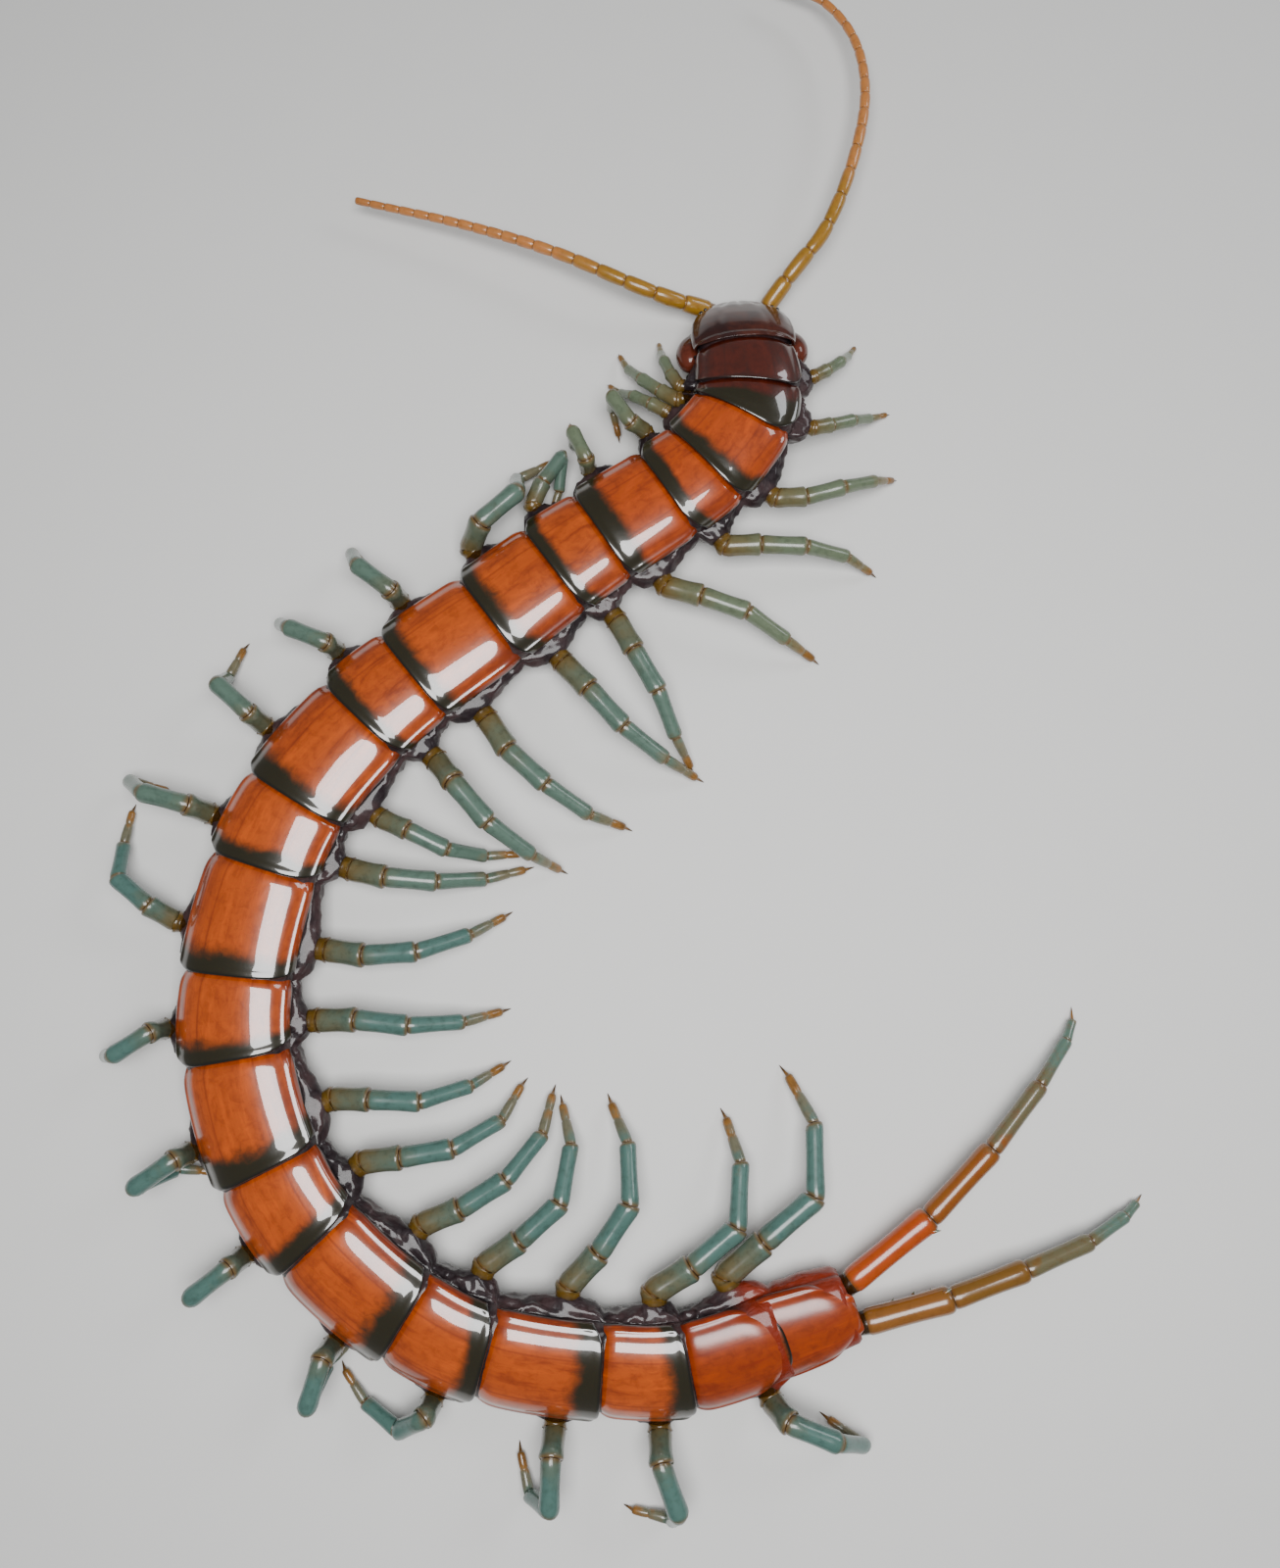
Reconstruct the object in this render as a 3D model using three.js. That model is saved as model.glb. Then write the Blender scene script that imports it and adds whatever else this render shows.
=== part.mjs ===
// Giant centipede, life size, resting on its feet in a C-shaped curl.
// X and Y lie in the floor, with +Y the way the head points, and Z is up. Millimetres and degrees.
import * as THREE from "three";

// Body lengths from the head to the last segment: visible length, width across the back plate at
// its rear edge, and the compass heading of the stretch, tailward, anticlockwise from +X.
const STRETCHES = [
  { length: 7.7, width: 11.4, heading: 273 },
  { length: 4.5, width: 12.1, heading: 274 },
  { length: 3.1, width: 12.2, heading: 258 },
  { length: 6.9, width: 12.3, heading: 233 },
  { length: 4.9, width: 12.4, heading: 217 },
  { length: 8.8, width: 12.5, heading: 213 },
  { length: 6.3, width: 12.7, heading: 215 },
  { length: 8.8, width: 12.8, heading: 218 },
  { length: 10.5, width: 12.9, heading: 217 },
  { length: 7.1, width: 13.0, heading: 222 },
  { length: 11.3, width: 13.0, heading: 231 },
  { length: 7.8, width: 13.0, heading: 246 },
  { length: 11.8, width: 12.9, heading: 258 },
  { length: 8.5, width: 12.8, heading: 271 },
  { length: 12.0, width: 12.6, heading: 288 },
  { length: 8.9, width: 12.3, heading: 305 },
  { length: 12.2, width: 12.0, heading: 321 },
  { length: 8.9, width: 11.6, heading: 336 },
  { length: 12.1, width: 11.1, heading: 352 },
  { length: 8.9, width: 10.6, heading: 1 },
  { length: 10.4, width: 9.8, heading: 18 },
  { length: 8.2, width: 7.8, heading: 20 },
];
const HEAD_FRONT = [11.2, 55.3];
const HEAD_FRONT_WIDTH = 11.2;
const ORIGIN_SHIFT = [-1.74, 8.46];
const RIM_HEIGHT = 5.2;
const HEAD_FRONT_RIM_HEIGHT = 1.9;
const BACK_ARCH = 2.7;
const PLATE_STEP = 0.45;
const PLATE_FLARE = 0.25;
const GAP = 0.3;
const FLANK_BULGE = 1.13;
const FLANK_TOP = -1.0;
const FLANK_FOOT = -2.8;
const BELLY_DEPTH = 4.2;
// Each pair of legs leaves its segment this share of the way along.
const LEG_PLACE = 0.66;
const SECTION_SIDES = 20;
const FOOT_FLAT = 0.1;

// Which segments share one length of body.
const TRUNK_LENGTHS = [
  [1, 1],
  [2, 3],
  [4, 5],
  [6, 7],
  [8, 8],
  [9, 10],
  [11, 12],
  [13, 14],
  [15, 16],
  [17, 18],
  [19, 20],
  [21, 21],
];

// Leg article lengths and radii for a leg of scale 1: prefemur, femur, tibia, tarsus and claw.
const COXA_LENGTH = 1.1;
const ARTICLE_LENGTHS = [4.4, 5.6, 6.0, 4.6, 1.2];
const ARTICLE_RADII = [1.32, 1.15, 0.95, 0.62, 0.42];
const LEG_SIDES = 6;

// Heights of the joints above the floor, from the end of the prefemur to the claw tip.
const STANCE = {
  spread: [5.0, 5.2, 3.2, 0.8, 0.24],
  high: [6.6, 6.8, 4.4, 0.9, 0.24],
  steep: [6.4, 6.2, 1.4, 0.6, 0.24],
  tucked: [6.6, 6.3, 2.2, 0.7, 0.24],
  low: [6.4, 3.6, 1.2, 0.6, 0.24],
  under: [5.0, 4.4, 1.5, 0.6, 0.24],
  neck: [4.6, 3.6, 1.6, 0.5, 0.24],
  beneath: [3.4, 3.2, 1.4, 0.6, 0.24],
};

// Each leg: size against a middle leg, stance, and the compass headings of its articles.
const RIGHT_LEGS = [
  { scale: 0.46, stance: "neck", headings: [34, 40, 54, 58, 60] },
  { scale: 0.54, stance: "neck", headings: [18, 20, 24, 24, 22] },
  { scale: 0.77, stance: "spread", headings: [4, 14, 20, 21, 22] },
  { scale: 0.88, stance: "spread", headings: [2, -3, -7, -21, -24] },
  { scale: 0.94, stance: "spread", headings: [-17, -20, -31, -28, -31] },
  { scale: 0.93, stance: "spread", headings: [-61, -60, -68, -61, -61] },
  { scale: 1, stance: "spread", headings: [-47, -48, -36, -28, -25] },
  { scale: 1, stance: "spread", headings: [-56, -42, -34, -18, -23] },
  { scale: 1.02, stance: "high", headings: [-49, -49, -37, -28, -27] },
  { scale: 0.82, stance: "under", headings: [-23, -26, -9, 4, 6] },
  { scale: 0.96, stance: "under", headings: [-12, -5, 4, 14, 18] },
  { scale: 1.0, stance: "spread", headings: [-7, 4, 18, 29, 33] },
  { scale: 0.99, stance: "spread", headings: [2, -6, 2, 13, 16] },
  { scale: 0.94, stance: "spread", headings: [1, -2, 15, 29, 31] },
  { scale: 0.97, stance: "spread", headings: [8, 10, 28, 60, 50] },
  { scale: 0.99, stance: "spread", headings: [23, 32, 50, 77, 73] },
  { scale: 1, stance: "spread", headings: [35, 42, 80, 106, 105] },
  { scale: 1.04, stance: "spread", headings: [47, 56, 93, 116, 113] },
  { scale: 1.09, stance: "spread", headings: [33, 40, 85, 108, 120] },
  { scale: 1.25, stance: "spread", headings: [42, 40, 88, 118, 130] },
];
const LEFT_LEGS = [
  { scale: 0.44, stance: "neck", headings: [120, 110, 100, 96, 96] },
  { scale: 0.54, stance: "neck", headings: [146, 138, 127, 114, 108] },
  { scale: 0.46, stance: "neck", headings: [150, 146, 142, 132, 126] },
  { scale: 0.66, stance: "tucked", headings: [176, 124, 98, 285, 280] },
  { scale: 0.62, stance: "steep", headings: [126, 116, 108, 100, 100] },
  { scale: 0.66, stance: "beneath", headings: [66, 54, 262, 250, 245] },
  { scale: 0.95, stance: "steep", headings: [50, 42, 100, 30, 14] },
  { scale: 0.84, stance: "tucked", headings: [137, 143, 122, 320, 310] },
  { scale: 0.8, stance: "tucked", headings: [154, 158, 147, 340, 335] },
  { scale: 0.84, stance: "steep", headings: [128, 138, 107, 68, 62] },
  { scale: 0.9, stance: "tucked", headings: [152, 165, 152, 345, 350] },
  { scale: 0.82, stance: "under", headings: [143, 142, 100, 84, 80] },
  { scale: 0.8, stance: "tucked", headings: [200, 212, 191, 20, 15] },
  { scale: 0.86, stance: "tucked", headings: [196, 215, 20, 350, 345] },
  { scale: 0.86, stance: "tucked", headings: [202, 218, 40, 10, 5] },
  { scale: 0.86, stance: "tucked", headings: [225, 253, 70, 40, 40] },
  { scale: 0.84, stance: "low", headings: [205, 216, 155, 128, 120] },
  { scale: 0.9, stance: "steep", headings: [266, 268, 195, 105, 100] },
  { scale: 0.92, stance: "steep", headings: [273, 290, 258, 172, 165] },
  { scale: 0.94, stance: "tucked", headings: [335, 338, 330, 150, 150] },
];

// The two long legs that trail from the last segment.
const TERMINAL_ROOT_SIDE = 2.15;
const TERMINAL_ROOT_HEIGHT = 4.2;
const TERMINAL_LENGTHS = [10.4, 9.4, 8.4, 5.6, 2.4, 1.6];
const TERMINAL_RADII = [1.35, 1.2, 1.0, 0.72, 0.56, 0.36];
const TERMINAL_HEIGHTS = [4.3, 3.9, 3.2, 1.9, 0.9, 0.22];
const TERMINAL_LEGS = {
  right: { scale: 1.03, headings: [38, 45, 50, 53, 62, 80] },
  left: { scale: 0.9, headings: [15, 19, 21, 28, 34, 38] },
};

// Feelers: the places they pass through after their roots, as X, Y and height.
const LEFT_FEELER = [
  [4.6, 54.6, 4.0],
  [-0.9, 56.2, 5.2],
  [-9.7, 60.1, 5.0],
  [-19.6, 63.7, 4.2],
  [-32.8, 67.4, 3.2],
];
const RIGHT_FEELER = [
  [17.0, 57.7, 4.6],
  [20.7, 62.2, 5.2],
  [24.3, 71.0, 5.4],
  [25.9, 79.9, 5.0],
  [24.7, 86.9, 4.4],
  [21.3, 91.8, 3.8],
  [16.4, 94.3, 3.2],
];
const FEELER_ROOT_RADIUS = 1.05;
const FEELER_TIP_RADIUS = 0.38;
const FEELER_SIDES = 7;
const FEELER_RINGS = 30;

const COLOURS = {
  plate: { color: "#c2470c", roughness: 0.22, metalness: 0 },
  head: { color: "#4f1512", roughness: 0.25, metalness: 0 },
  leg: { color: "#6d8b82", roughness: 0.35, metalness: 0 },
  terminal: { color: "#a8541a", roughness: 0.3, metalness: 0 },
  feeler: { color: "#c98550", roughness: 0.4, metalness: 0 },
  tail: { color: "#b32a08", roughness: 0.22, metalness: 0 },
};

const UP = new THREE.Vector3(0, 0, 1);
const COUNT = STRETCHES.length;

function bell(x, centre, spread) {
  return Math.exp(-(((x - centre) / spread) ** 2));
}

function mix(a, b, share) {
  return a + (b - a) * share;
}

function compass(heading) {
  const angle = THREE.MathUtils.degToRad(heading);
  return new THREE.Vector3(Math.cos(angle), Math.sin(angle), 0);
}

// Height of the back plates' side rims at the joint after stretch i; the neck is held up.
function rimHeight(i) {
  if (i < 0) return HEAD_FRONT_RIM_HEIGHT;
  return RIM_HEIGHT + 2.0 * bell(i, 1.5, 3) + 0.3 * bell(i, 17, 3);
}

// How far the back leans towards the outside of the curl, in degrees.
function lean(place) {
  const towardsTail = 6 + 11 * bell(place, 18.5, 3.2);
  return towardsTail * Math.min(1, Math.max(0, place - 1) / 4);
}

// The line of the body: one point at the head's front and one behind each stretch.
function bodyLine() {
  const points = [new THREE.Vector3(HEAD_FRONT[0], HEAD_FRONT[1], rimHeight(-1))];
  STRETCHES.forEach((stretch, i) => {
    const next = points[i].clone().addScaledVector(compass(stretch.heading), stretch.length);
    next.z = rimHeight(i);
    points.push(next);
  });
  return new THREE.CatmullRomCurve3(points, false, "centripetal");
}

const LINE = bodyLine();

// Position and axes at a share of the way along stretch i: back, left, and the back's own up.
function frameAt(i, share) {
  const t = THREE.MathUtils.clamp((i + share) / COUNT, 0, 1);
  const along = LINE.getTangent(t);
  const left = along.clone().cross(UP).normalize();
  const up = left.clone().cross(along).normalize();
  return { centre: LINE.getPoint(t), along, left, up };
}

function widthAt(i, share) {
  const front = i === 0 ? HEAD_FRONT_WIDTH : STRETCHES[i - 1].width;
  return mix(front, STRETCHES[i].width, share);
}

// The outline of half of a body section, from the middle of the back to the middle of the belly.
function halfSection(i, share) {
  const rear = share ** 0.8;
  const half = widthAt(i, share) / 2 - PLATE_FLARE * (1 - rear);
  const lift = PLATE_STEP * rear - PLATE_STEP / 2;
  const arch = BACK_ARCH * Math.min(1, half / 6);
  const nearLeg = Math.max(0, 1 - Math.abs(share - LEG_PLACE) * 2.2);
  const bulge = mix(1.02, FLANK_BULGE, Math.min(1, nearLeg * 1.6));
  const slim = i === 21 ? mix(1, 0.86, share) : 1;
  const back = [0, 0.36, 0.67, 0.9].map((x) => [x * half, arch * (1 - x ** 2.2) ** 0.6 + lift]);
  return [
    ...back,
    [half, lift * 0.6],
    [half * 0.95, -0.55],
    [half * bulge * slim, FLANK_TOP],
    [half * bulge * slim, FLANK_FOOT],
    [half * 0.86 * slim, -3.7],
    [half * 0.5 * slim, -BELLY_DEPTH],
    [0, -BELLY_DEPTH],
  ];
}

// A point of a section in space. The lean fades out towards the belly.
function sectionPoint(i, share, [x, z]) {
  const { centre, left, up } = frameAt(i, share);
  const fade = THREE.MathUtils.clamp((z + BELLY_DEPTH) / BELLY_DEPTH, 0, 1);
  const angle = THREE.MathUtils.degToRad(lean(i + share) * fade);
  const across = x * Math.cos(angle) + z * Math.sin(angle);
  const rise = z * Math.cos(angle) - x * Math.sin(angle);
  return centre.clone().addScaledVector(left, across).addScaledVector(up, rise);
}

// A closed solid skinned over rings: a cylinder whose points move to where place(ring, side) says.
function skinned(sides, rings, place, middle) {
  const geometry = new THREE.CylinderGeometry(1, 1, 1, sides, rings - 1);
  const spots = geometry.attributes.position;
  for (let n = 0; n < spots.count; n += 1) {
    const x = spots.getX(n);
    const z = spots.getZ(n);
    const ring = Math.round((0.5 - spots.getY(n)) * (rings - 1));
    const turn = Math.atan2(-x, z) / (2 * Math.PI);
    const side = (Math.round(turn * sides) + sides) % sides;
    const spot = Math.hypot(x, z) < 0.5 ? middle(ring) : place(ring, side);
    spots.setXYZ(n, spot.x, spot.y, spot.z);
  }
  geometry.deleteAttribute("uv");
  geometry.computeVertexNormals();
  return geometry;
}

function material({ color, roughness, metalness }) {
  return new THREE.MeshStandardMaterial({ color, roughness, metalness });
}

const centipede = new THREE.Group();
centipede.position.set(-ORIGIN_SHIFT[0], -ORIGIN_SHIFT[1], 0);

function add(name, geometry, finish) {
  const mesh = new THREE.Mesh(geometry, material(finish));
  mesh.name = name;
  centipede.add(mesh);
}

// Side k of a full section: the right half mirrors the left.
function aroundSection(outline, k) {
  const last = SECTION_SIDES / 2;
  return k <= last ? outline[k] : [-outline[SECTION_SIDES - k][0], outline[SECTION_SIDES - k][1]];
}

// One length of body from segment first to segment last, with a step down behind each back plate.
function trunk(first, last) {
  const rings = [];
  for (let i = first; i <= last; i += 1) {
    const edge = GAP / 2 / STRETCHES[i].length;
    for (const share of [edge, 0.14, 0.5, 0.82, 1 - edge]) rings.push({ i, share });
  }
  const outlines = rings.map(({ i, share }) => halfSection(i, share));
  const place = (r, k) => sectionPoint(rings[r].i, rings[r].share, aroundSection(outlines[r], k));
  const middle = (r) => sectionPoint(rings[r].i, rings[r].share, [0, -1]);
  return skinned(SECTION_SIDES, rings.length, place, middle);
}

// The head: share of its length from the front, half width, height above and depth below its rim.
const HEAD_RINGS = [
  { share: 0.0, half: 1.7, above: 0.45, below: 0.7 },
  { share: 0.03, half: 2.2, above: 0.75, below: 0.8 },
  { share: 0.18, half: 4.1, above: 1.35, below: 0.9 },
  { share: 0.34, half: 5.1, above: 1.75, below: 1.0 },
  { share: 0.58, half: 5.75, above: 2.1, below: 1.1 },
  { share: 0.82, half: 5.7, above: 2.3, below: 1.1 },
  { share: 0.97, half: 5.3, above: 2.3, below: 1.1 },
];

function head() {
  const outline = ({ half, above, below }) => [
    ...[0, 0.36, 0.67, 0.9].map((x) => [x * half, above * (1 - x ** 2.2) ** 0.6]),
    [half, 0],
    [half * 0.97, -0.35],
    [half * 0.86, -0.45],
    [half * 0.7, -0.7 * below],
    [half * 0.5, -below],
    [half * 0.25, -below],
    [0, -below],
  ];
  const place = (r, k) => sectionPoint(0, HEAD_RINGS[r].share, aroundSection(outline(HEAD_RINGS[r]), k));
  const middle = (r) => sectionPoint(0, HEAD_RINGS[r].share, [0, -0.2]);
  return skinned(SECTION_SIDES, HEAD_RINGS.length, place, middle);
}

// The flat plate under the head that carries the fangs.
const FANG_PLATE_RINGS = [
  { share: 0.36, half: 2.4, top: -1.45, bottom: -2.5 },
  { share: 0.5, half: 3.3, top: -1.45, bottom: -3.2 },
  { share: 0.75, half: 3.8, top: -1.45, bottom: -3.7 },
  { share: 0.97, half: 3.9, top: -1.45, bottom: -3.9 },
];

function fangPlate() {
  const corners = ({ half, top, bottom }) => [
    [0, top],
    [half * 0.9, top],
    [half, mix(top, bottom, 0.25)],
    [half, mix(top, bottom, 0.7)],
    [half * 0.7, bottom],
    [0, bottom],
    [-half * 0.7, bottom],
    [-half, mix(top, bottom, 0.7)],
    [-half, mix(top, bottom, 0.25)],
    [-half * 0.9, top],
  ];
  const place = (r, k) => sectionPoint(0, FANG_PLATE_RINGS[r].share, corners(FANG_PLATE_RINGS[r])[k]);
  const middle = (r) => sectionPoint(0, FANG_PLATE_RINGS[r].share, [0, -2]);
  return skinned(10, FANG_PLATE_RINGS.length, place, middle);
}

// A round limb through points with a radius at each. Every ring squares up to the limb's run and
// keeps the turn of the one before, so that a sharp bend doesn't twist it.
function limb(points, radii, sides, firstAxis) {
  const last = points.length - 1;
  const axes = points.map((point, r) => {
    const before = points[Math.max(0, r - 1)];
    const after = points[Math.min(last, r + 1)];
    return after.clone().sub(before).normalize();
  });
  if (firstAxis) axes[0].copy(firstAxis);
  const up = UP.clone();
  const rings = points.map((point, r) => {
    up.addScaledVector(axes[r], -up.dot(axes[r])).normalize();
    return { point, radius: radii[r], left: axes[r].clone().cross(up), up: up.clone() };
  });
  const place = (r, k) => {
    const ring = rings[r];
    const angle = ((k + 0.5) / sides) * 2 * Math.PI;
    const spot = ring.point.clone().addScaledVector(ring.left, ring.radius * Math.sin(angle));
    spot.addScaledVector(ring.up, ring.radius * Math.cos(angle));
    if (spot.z < FOOT_FLAT) spot.z = 0;
    return spot;
  };
  return skinned(sides, points.length, place, (r) => rings[r].point);
}

// Joint points of a limb from its start: each article keeps its true length and ends at its height.
function jointChain(start, lengths, headings, heights) {
  const joints = [start];
  lengths.forEach((length, n) => {
    const from = joints[n];
    const fall = heights[n] - from.z;
    const reach = Math.sqrt(Math.max(0.05, length ** 2 - fall ** 2));
    const to = from.clone().addScaledVector(compass(headings[n]), reach);
    to.z = heights[n];
    joints.push(to);
  });
  return joints;
}

// Swells each article between narrower joints.
function swollen(joints, radii, swells) {
  const points = [];
  const sizes = [];
  for (let n = 0; n < joints.length - 1; n += 1) {
    const before = n === 0 ? radii[0] : radii[n - 1];
    points.push(joints[n]);
    sizes.push(0.84 * Math.min(before, radii[n]));
    for (const [share, fullness] of swells(n)) {
      points.push(joints[n].clone().lerp(joints[n + 1], share));
      sizes.push(radii[n] * fullness);
    }
  }
  points.push(joints[joints.length - 1]);
  sizes.push(radii[radii.length - 1] * 0.55);
  return { points, sizes };
}

// Where a leg leaves the flank of segment i, and the way the flank faces there.
function legRoot(i, side) {
  const spot = (share, depth) => {
    const [flank] = halfSection(i, share)[7];
    return sectionPoint(i, share, [side * flank, depth]);
  };
  const low = spot(LEG_PLACE, FLANK_FOOT);
  const high = spot(LEG_PLACE, FLANK_TOP);
  const ahead = spot(LEG_PLACE - 0.14, (FLANK_FOOT + FLANK_TOP) / 2);
  const behind = spot(LEG_PLACE + 0.14, (FLANK_FOOT + FLANK_TOP) / 2);
  const normal = high.clone().sub(low).cross(behind.clone().sub(ahead)).normalize();
  const { left } = frameAt(i, LEG_PLACE);
  if (normal.dot(left) * side < 0) normal.negate();
  return { spot: low.add(high).multiplyScalar(0.5).addScaledVector(normal, GAP), normal };
}

function leg(i, side, { scale, stance, headings }) {
  const root = legRoot(i, side);
  const lengths = ARTICLE_LENGTHS.map((length) => length * scale);
  const thick = Math.min(1.08, 0.25 + 0.75 * scale);
  const radii = ARTICLE_RADII.map((radius) => radius * thick);
  const start = root.spot.clone().addScaledVector(root.normal, COXA_LENGTH * thick);
  const joints = jointChain(start, lengths, headings, STANCE[stance]);
  const swells = (n) => {
    if (n === 4) return [[0.5, 0.85]];
    return n === 3 ? [[0.5, 1]] : [[0.26, 0.96], [0.74, 1]];
  };
  const { points, sizes } = swollen(joints, radii, swells);
  points.unshift(root.spot);
  sizes.unshift(radii[0] * 0.95);
  return limb(points, sizes, LEG_SIDES, root.normal);
}

function terminalLeg(side, { scale, headings }) {
  const { centre, along, left } = frameAt(21, 1);
  const start = centre.clone().addScaledVector(along, GAP).addScaledVector(left, side * TERMINAL_ROOT_SIDE);
  start.z = TERMINAL_ROOT_HEIGHT;
  const lengths = TERMINAL_LENGTHS.map((length) => length * scale);
  const joints = jointChain(start, lengths, headings, TERMINAL_HEIGHTS);
  const { points, sizes } = swollen(joints, TERMINAL_RADII, (n) =>
    n === 5 ? [[0.5, 0.85]] : [[0.18, 0.95], [0.8, 1]],
  );
  sizes[0] = TERMINAL_RADII[0] * 0.9;
  return limb(points, sizes, 8, along);
}

// A feeler leaves the slanted front corner of the head, square to it.
function feeler(side, route) {
  const corner = (share, half, z) => sectionPoint(0, share, [side * half, z]);
  const inner = corner(HEAD_RINGS[1].share, HEAD_RINGS[1].half, 0.1);
  const outer = corner(HEAD_RINGS[2].share, HEAD_RINGS[2].half, 0.1);
  const across = outer.clone().sub(inner).normalize();
  const normal = frameAt(0, 0.1).up.cross(across).multiplyScalar(-side).normalize();
  const root = inner.lerp(outer, 0.5).addScaledVector(normal, GAP);
  const places = route.map(([x, y, z]) => new THREE.Vector3(x, y, z));
  const curve = new THREE.CatmullRomCurve3([root, root.clone().addScaledVector(normal, 1), ...places]);
  const points = [];
  const sizes = [];
  for (let r = 0; r < FEELER_RINGS; r += 1) {
    const share = r / (FEELER_RINGS - 1);
    const bead = r % 2 === 0 ? 0.94 : 1.04;
    points.push(curve.getPointAt(share));
    sizes.push(mix(FEELER_ROOT_RADIUS, FEELER_TIP_RADIUS, share ** 0.6) * bead);
  }
  return limb(points, sizes, FEELER_SIDES, normal);
}

// A fang: a stout base beside the head's rear, then a claw that hooks in below the head's front.
function fang(side) {
  const route = [
    [0.955, 5.5, -2.3, 1.2],
    [0.8, 5.75, -2.3, 1.45],
    [0.6, 5.7, -2.25, 1.35],
    [0.4, 5.0, -2.15, 1.1],
    [0.24, 3.9, -2.1, 0.85],
    [0.12, 2.5, -2.1, 0.6],
    [0.06, 1.0, -2.1, 0.28],
  ];
  const points = route.map(([share, x, z]) => sectionPoint(0, share, [side * x, z]));
  return limb(points, route.map((row) => row[3]), 8);
}

add("head", head(), COLOURS.head);
add("fang_plate", fangPlate(), COLOURS.head);
add("fang_left", fang(1), COLOURS.head);
add("fang_right", fang(-1), COLOURS.head);
add("antenna_left", feeler(1, LEFT_FEELER), COLOURS.feeler);
add("antenna_right", feeler(-1, RIGHT_FEELER), COLOURS.feeler);
TRUNK_LENGTHS.forEach(([first, last], n) => {
  const finish = last === 21 ? COLOURS.tail : COLOURS.plate;
  add(`trunk_${String(n + 1).padStart(2, "0")}`, trunk(first, last), finish);
});
RIGHT_LEGS.forEach((row, n) => {
  add(`leg_right_${String(n + 1).padStart(2, "0")}`, leg(n + 1, -1, row), COLOURS.leg);
});
LEFT_LEGS.forEach((row, n) => {
  add(`leg_left_${String(n + 1).padStart(2, "0")}`, leg(n + 1, 1, row), COLOURS.leg);
});
add("leg_right_21", terminalLeg(-1, TERMINAL_LEGS.right), COLOURS.terminal);
add("leg_left_21", terminalLeg(1, TERMINAL_LEGS.left), COLOURS.terminal);

export default centipede;
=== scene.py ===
"""Giant centipede, life size: the looks built around its solid parts.

Sizes are in millimetres until a mesh is made. X and Y lie in the floor and Z is up.
"""

import math

import bmesh
import bpy
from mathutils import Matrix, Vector


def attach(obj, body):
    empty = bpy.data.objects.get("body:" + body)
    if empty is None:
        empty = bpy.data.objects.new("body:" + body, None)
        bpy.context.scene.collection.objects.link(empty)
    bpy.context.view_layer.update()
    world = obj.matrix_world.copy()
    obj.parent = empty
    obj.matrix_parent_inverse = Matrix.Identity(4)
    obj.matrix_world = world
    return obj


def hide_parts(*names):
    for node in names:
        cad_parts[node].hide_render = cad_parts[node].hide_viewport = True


bl_info = {
    "name": "Giant Centipede Model",
    "version": (1, 0, 0),
    "blender": (4, 5, 0),
    "location": "View3D > Sidebar > Centipede",
    "description": "Builds the plates, skin, legs and feelers of a life-size giant centipede",
    "category": "Add Mesh",
}

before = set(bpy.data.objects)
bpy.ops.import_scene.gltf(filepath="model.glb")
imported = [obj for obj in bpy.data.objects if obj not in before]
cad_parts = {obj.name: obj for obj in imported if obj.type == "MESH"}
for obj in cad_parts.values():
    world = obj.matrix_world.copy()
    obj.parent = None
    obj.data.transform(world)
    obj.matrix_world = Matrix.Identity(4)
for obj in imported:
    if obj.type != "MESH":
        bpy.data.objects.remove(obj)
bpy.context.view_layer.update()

MM = 0.001
WELD = 1e-7
UP = Vector((0, 0, 1))
SEGMENTS = 21
TRUNK_LENGTHS = 12
LEG_ARTICLES = 6

# The body line from the head to the last segment: length of each stretch along the back, width
# across its rear edge, and its compass heading tailward, anticlockwise from +X.
STRETCHES = (
    (7.7, 11.4, 273), (4.5, 12.1, 274), (3.1, 12.2, 258), (6.9, 12.3, 233), (4.9, 12.4, 217),
    (8.8, 12.5, 213), (6.3, 12.7, 215), (8.8, 12.8, 218), (10.5, 12.9, 217), (7.1, 13.0, 222),
    (11.3, 13.0, 231), (7.8, 13.0, 246), (11.8, 12.9, 258), (8.5, 12.8, 271), (12.0, 12.6, 288),
    (8.9, 12.3, 305), (12.2, 12.0, 321), (8.9, 11.6, 336), (12.1, 11.1, 352), (8.9, 10.6, 1),
    (10.4, 9.8, 18), (8.2, 7.8, 20),
)
HEAD_FRONT = (12.94, 46.84)
HEAD_FRONT_WIDTH = 11.2
HEAD_FRONT_RIM_HEIGHT = 1.9
RIM_HEIGHT = 5.2
BACK_ARCH = 2.7
# Each plate's rear stands this much higher and, on each side, wider than its front.
PLATE_STEP = 0.45
PLATE_FLARE = 0.25
# The skin swells to this share of the back's half width where a leg leaves it.
FLANK_BULGE = 1.1
BELLY_DEPTH = 4.2
# Each pair of legs leaves its segment this share of the way along.
LEG_PLACE = 0.66
# The last two plates have rounder rear corners, and the last starts further below the other.
TAIL_ROUNDING = 1.8
TAIL_TUCK = 2.3
# Folds of the flank, counted in radians from the middle of the back to that of the belly.
FINE_FOLDS = 62
BROAD_FOLDS = 35
TAIL_FOLD_SHARE = 0.15
# The skin swells round the root of each leg by this much, over this length of body.
COLLAR_DEPTH = 0.62
COLLAR_LENGTH = 1.75
FLANK_MIDDLE = -2
BELLY_PLATE_LEVEL = -4.1
BELLY_PLATE_THICKNESS = 0.14
CLAW_TIP_HEIGHT = 0.04
LEG_SIDES = 16
# The skin runs from behind the head to the tail's end, and turns red at the last segment.
SKIN_START = 0.9
SKIN_END = len(STRETCHES) - 0.03
SKIN_END_DROP = 1.5
TAIL_SKIN = (SEGMENTS - SKIN_START) / (SKIN_END - SKIN_START)


def mix(a, b, share):
    return a + (b - a) * share


def clamp(value, low=0.0, high=1.0):
    return max(low, min(high, value))


def bell(x, centre, spread):
    return math.exp(-(((x - centre) / spread) ** 2))


def smooth(value):
    value = clamp(value)
    return value * value * (3 - 2 * value)


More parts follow.
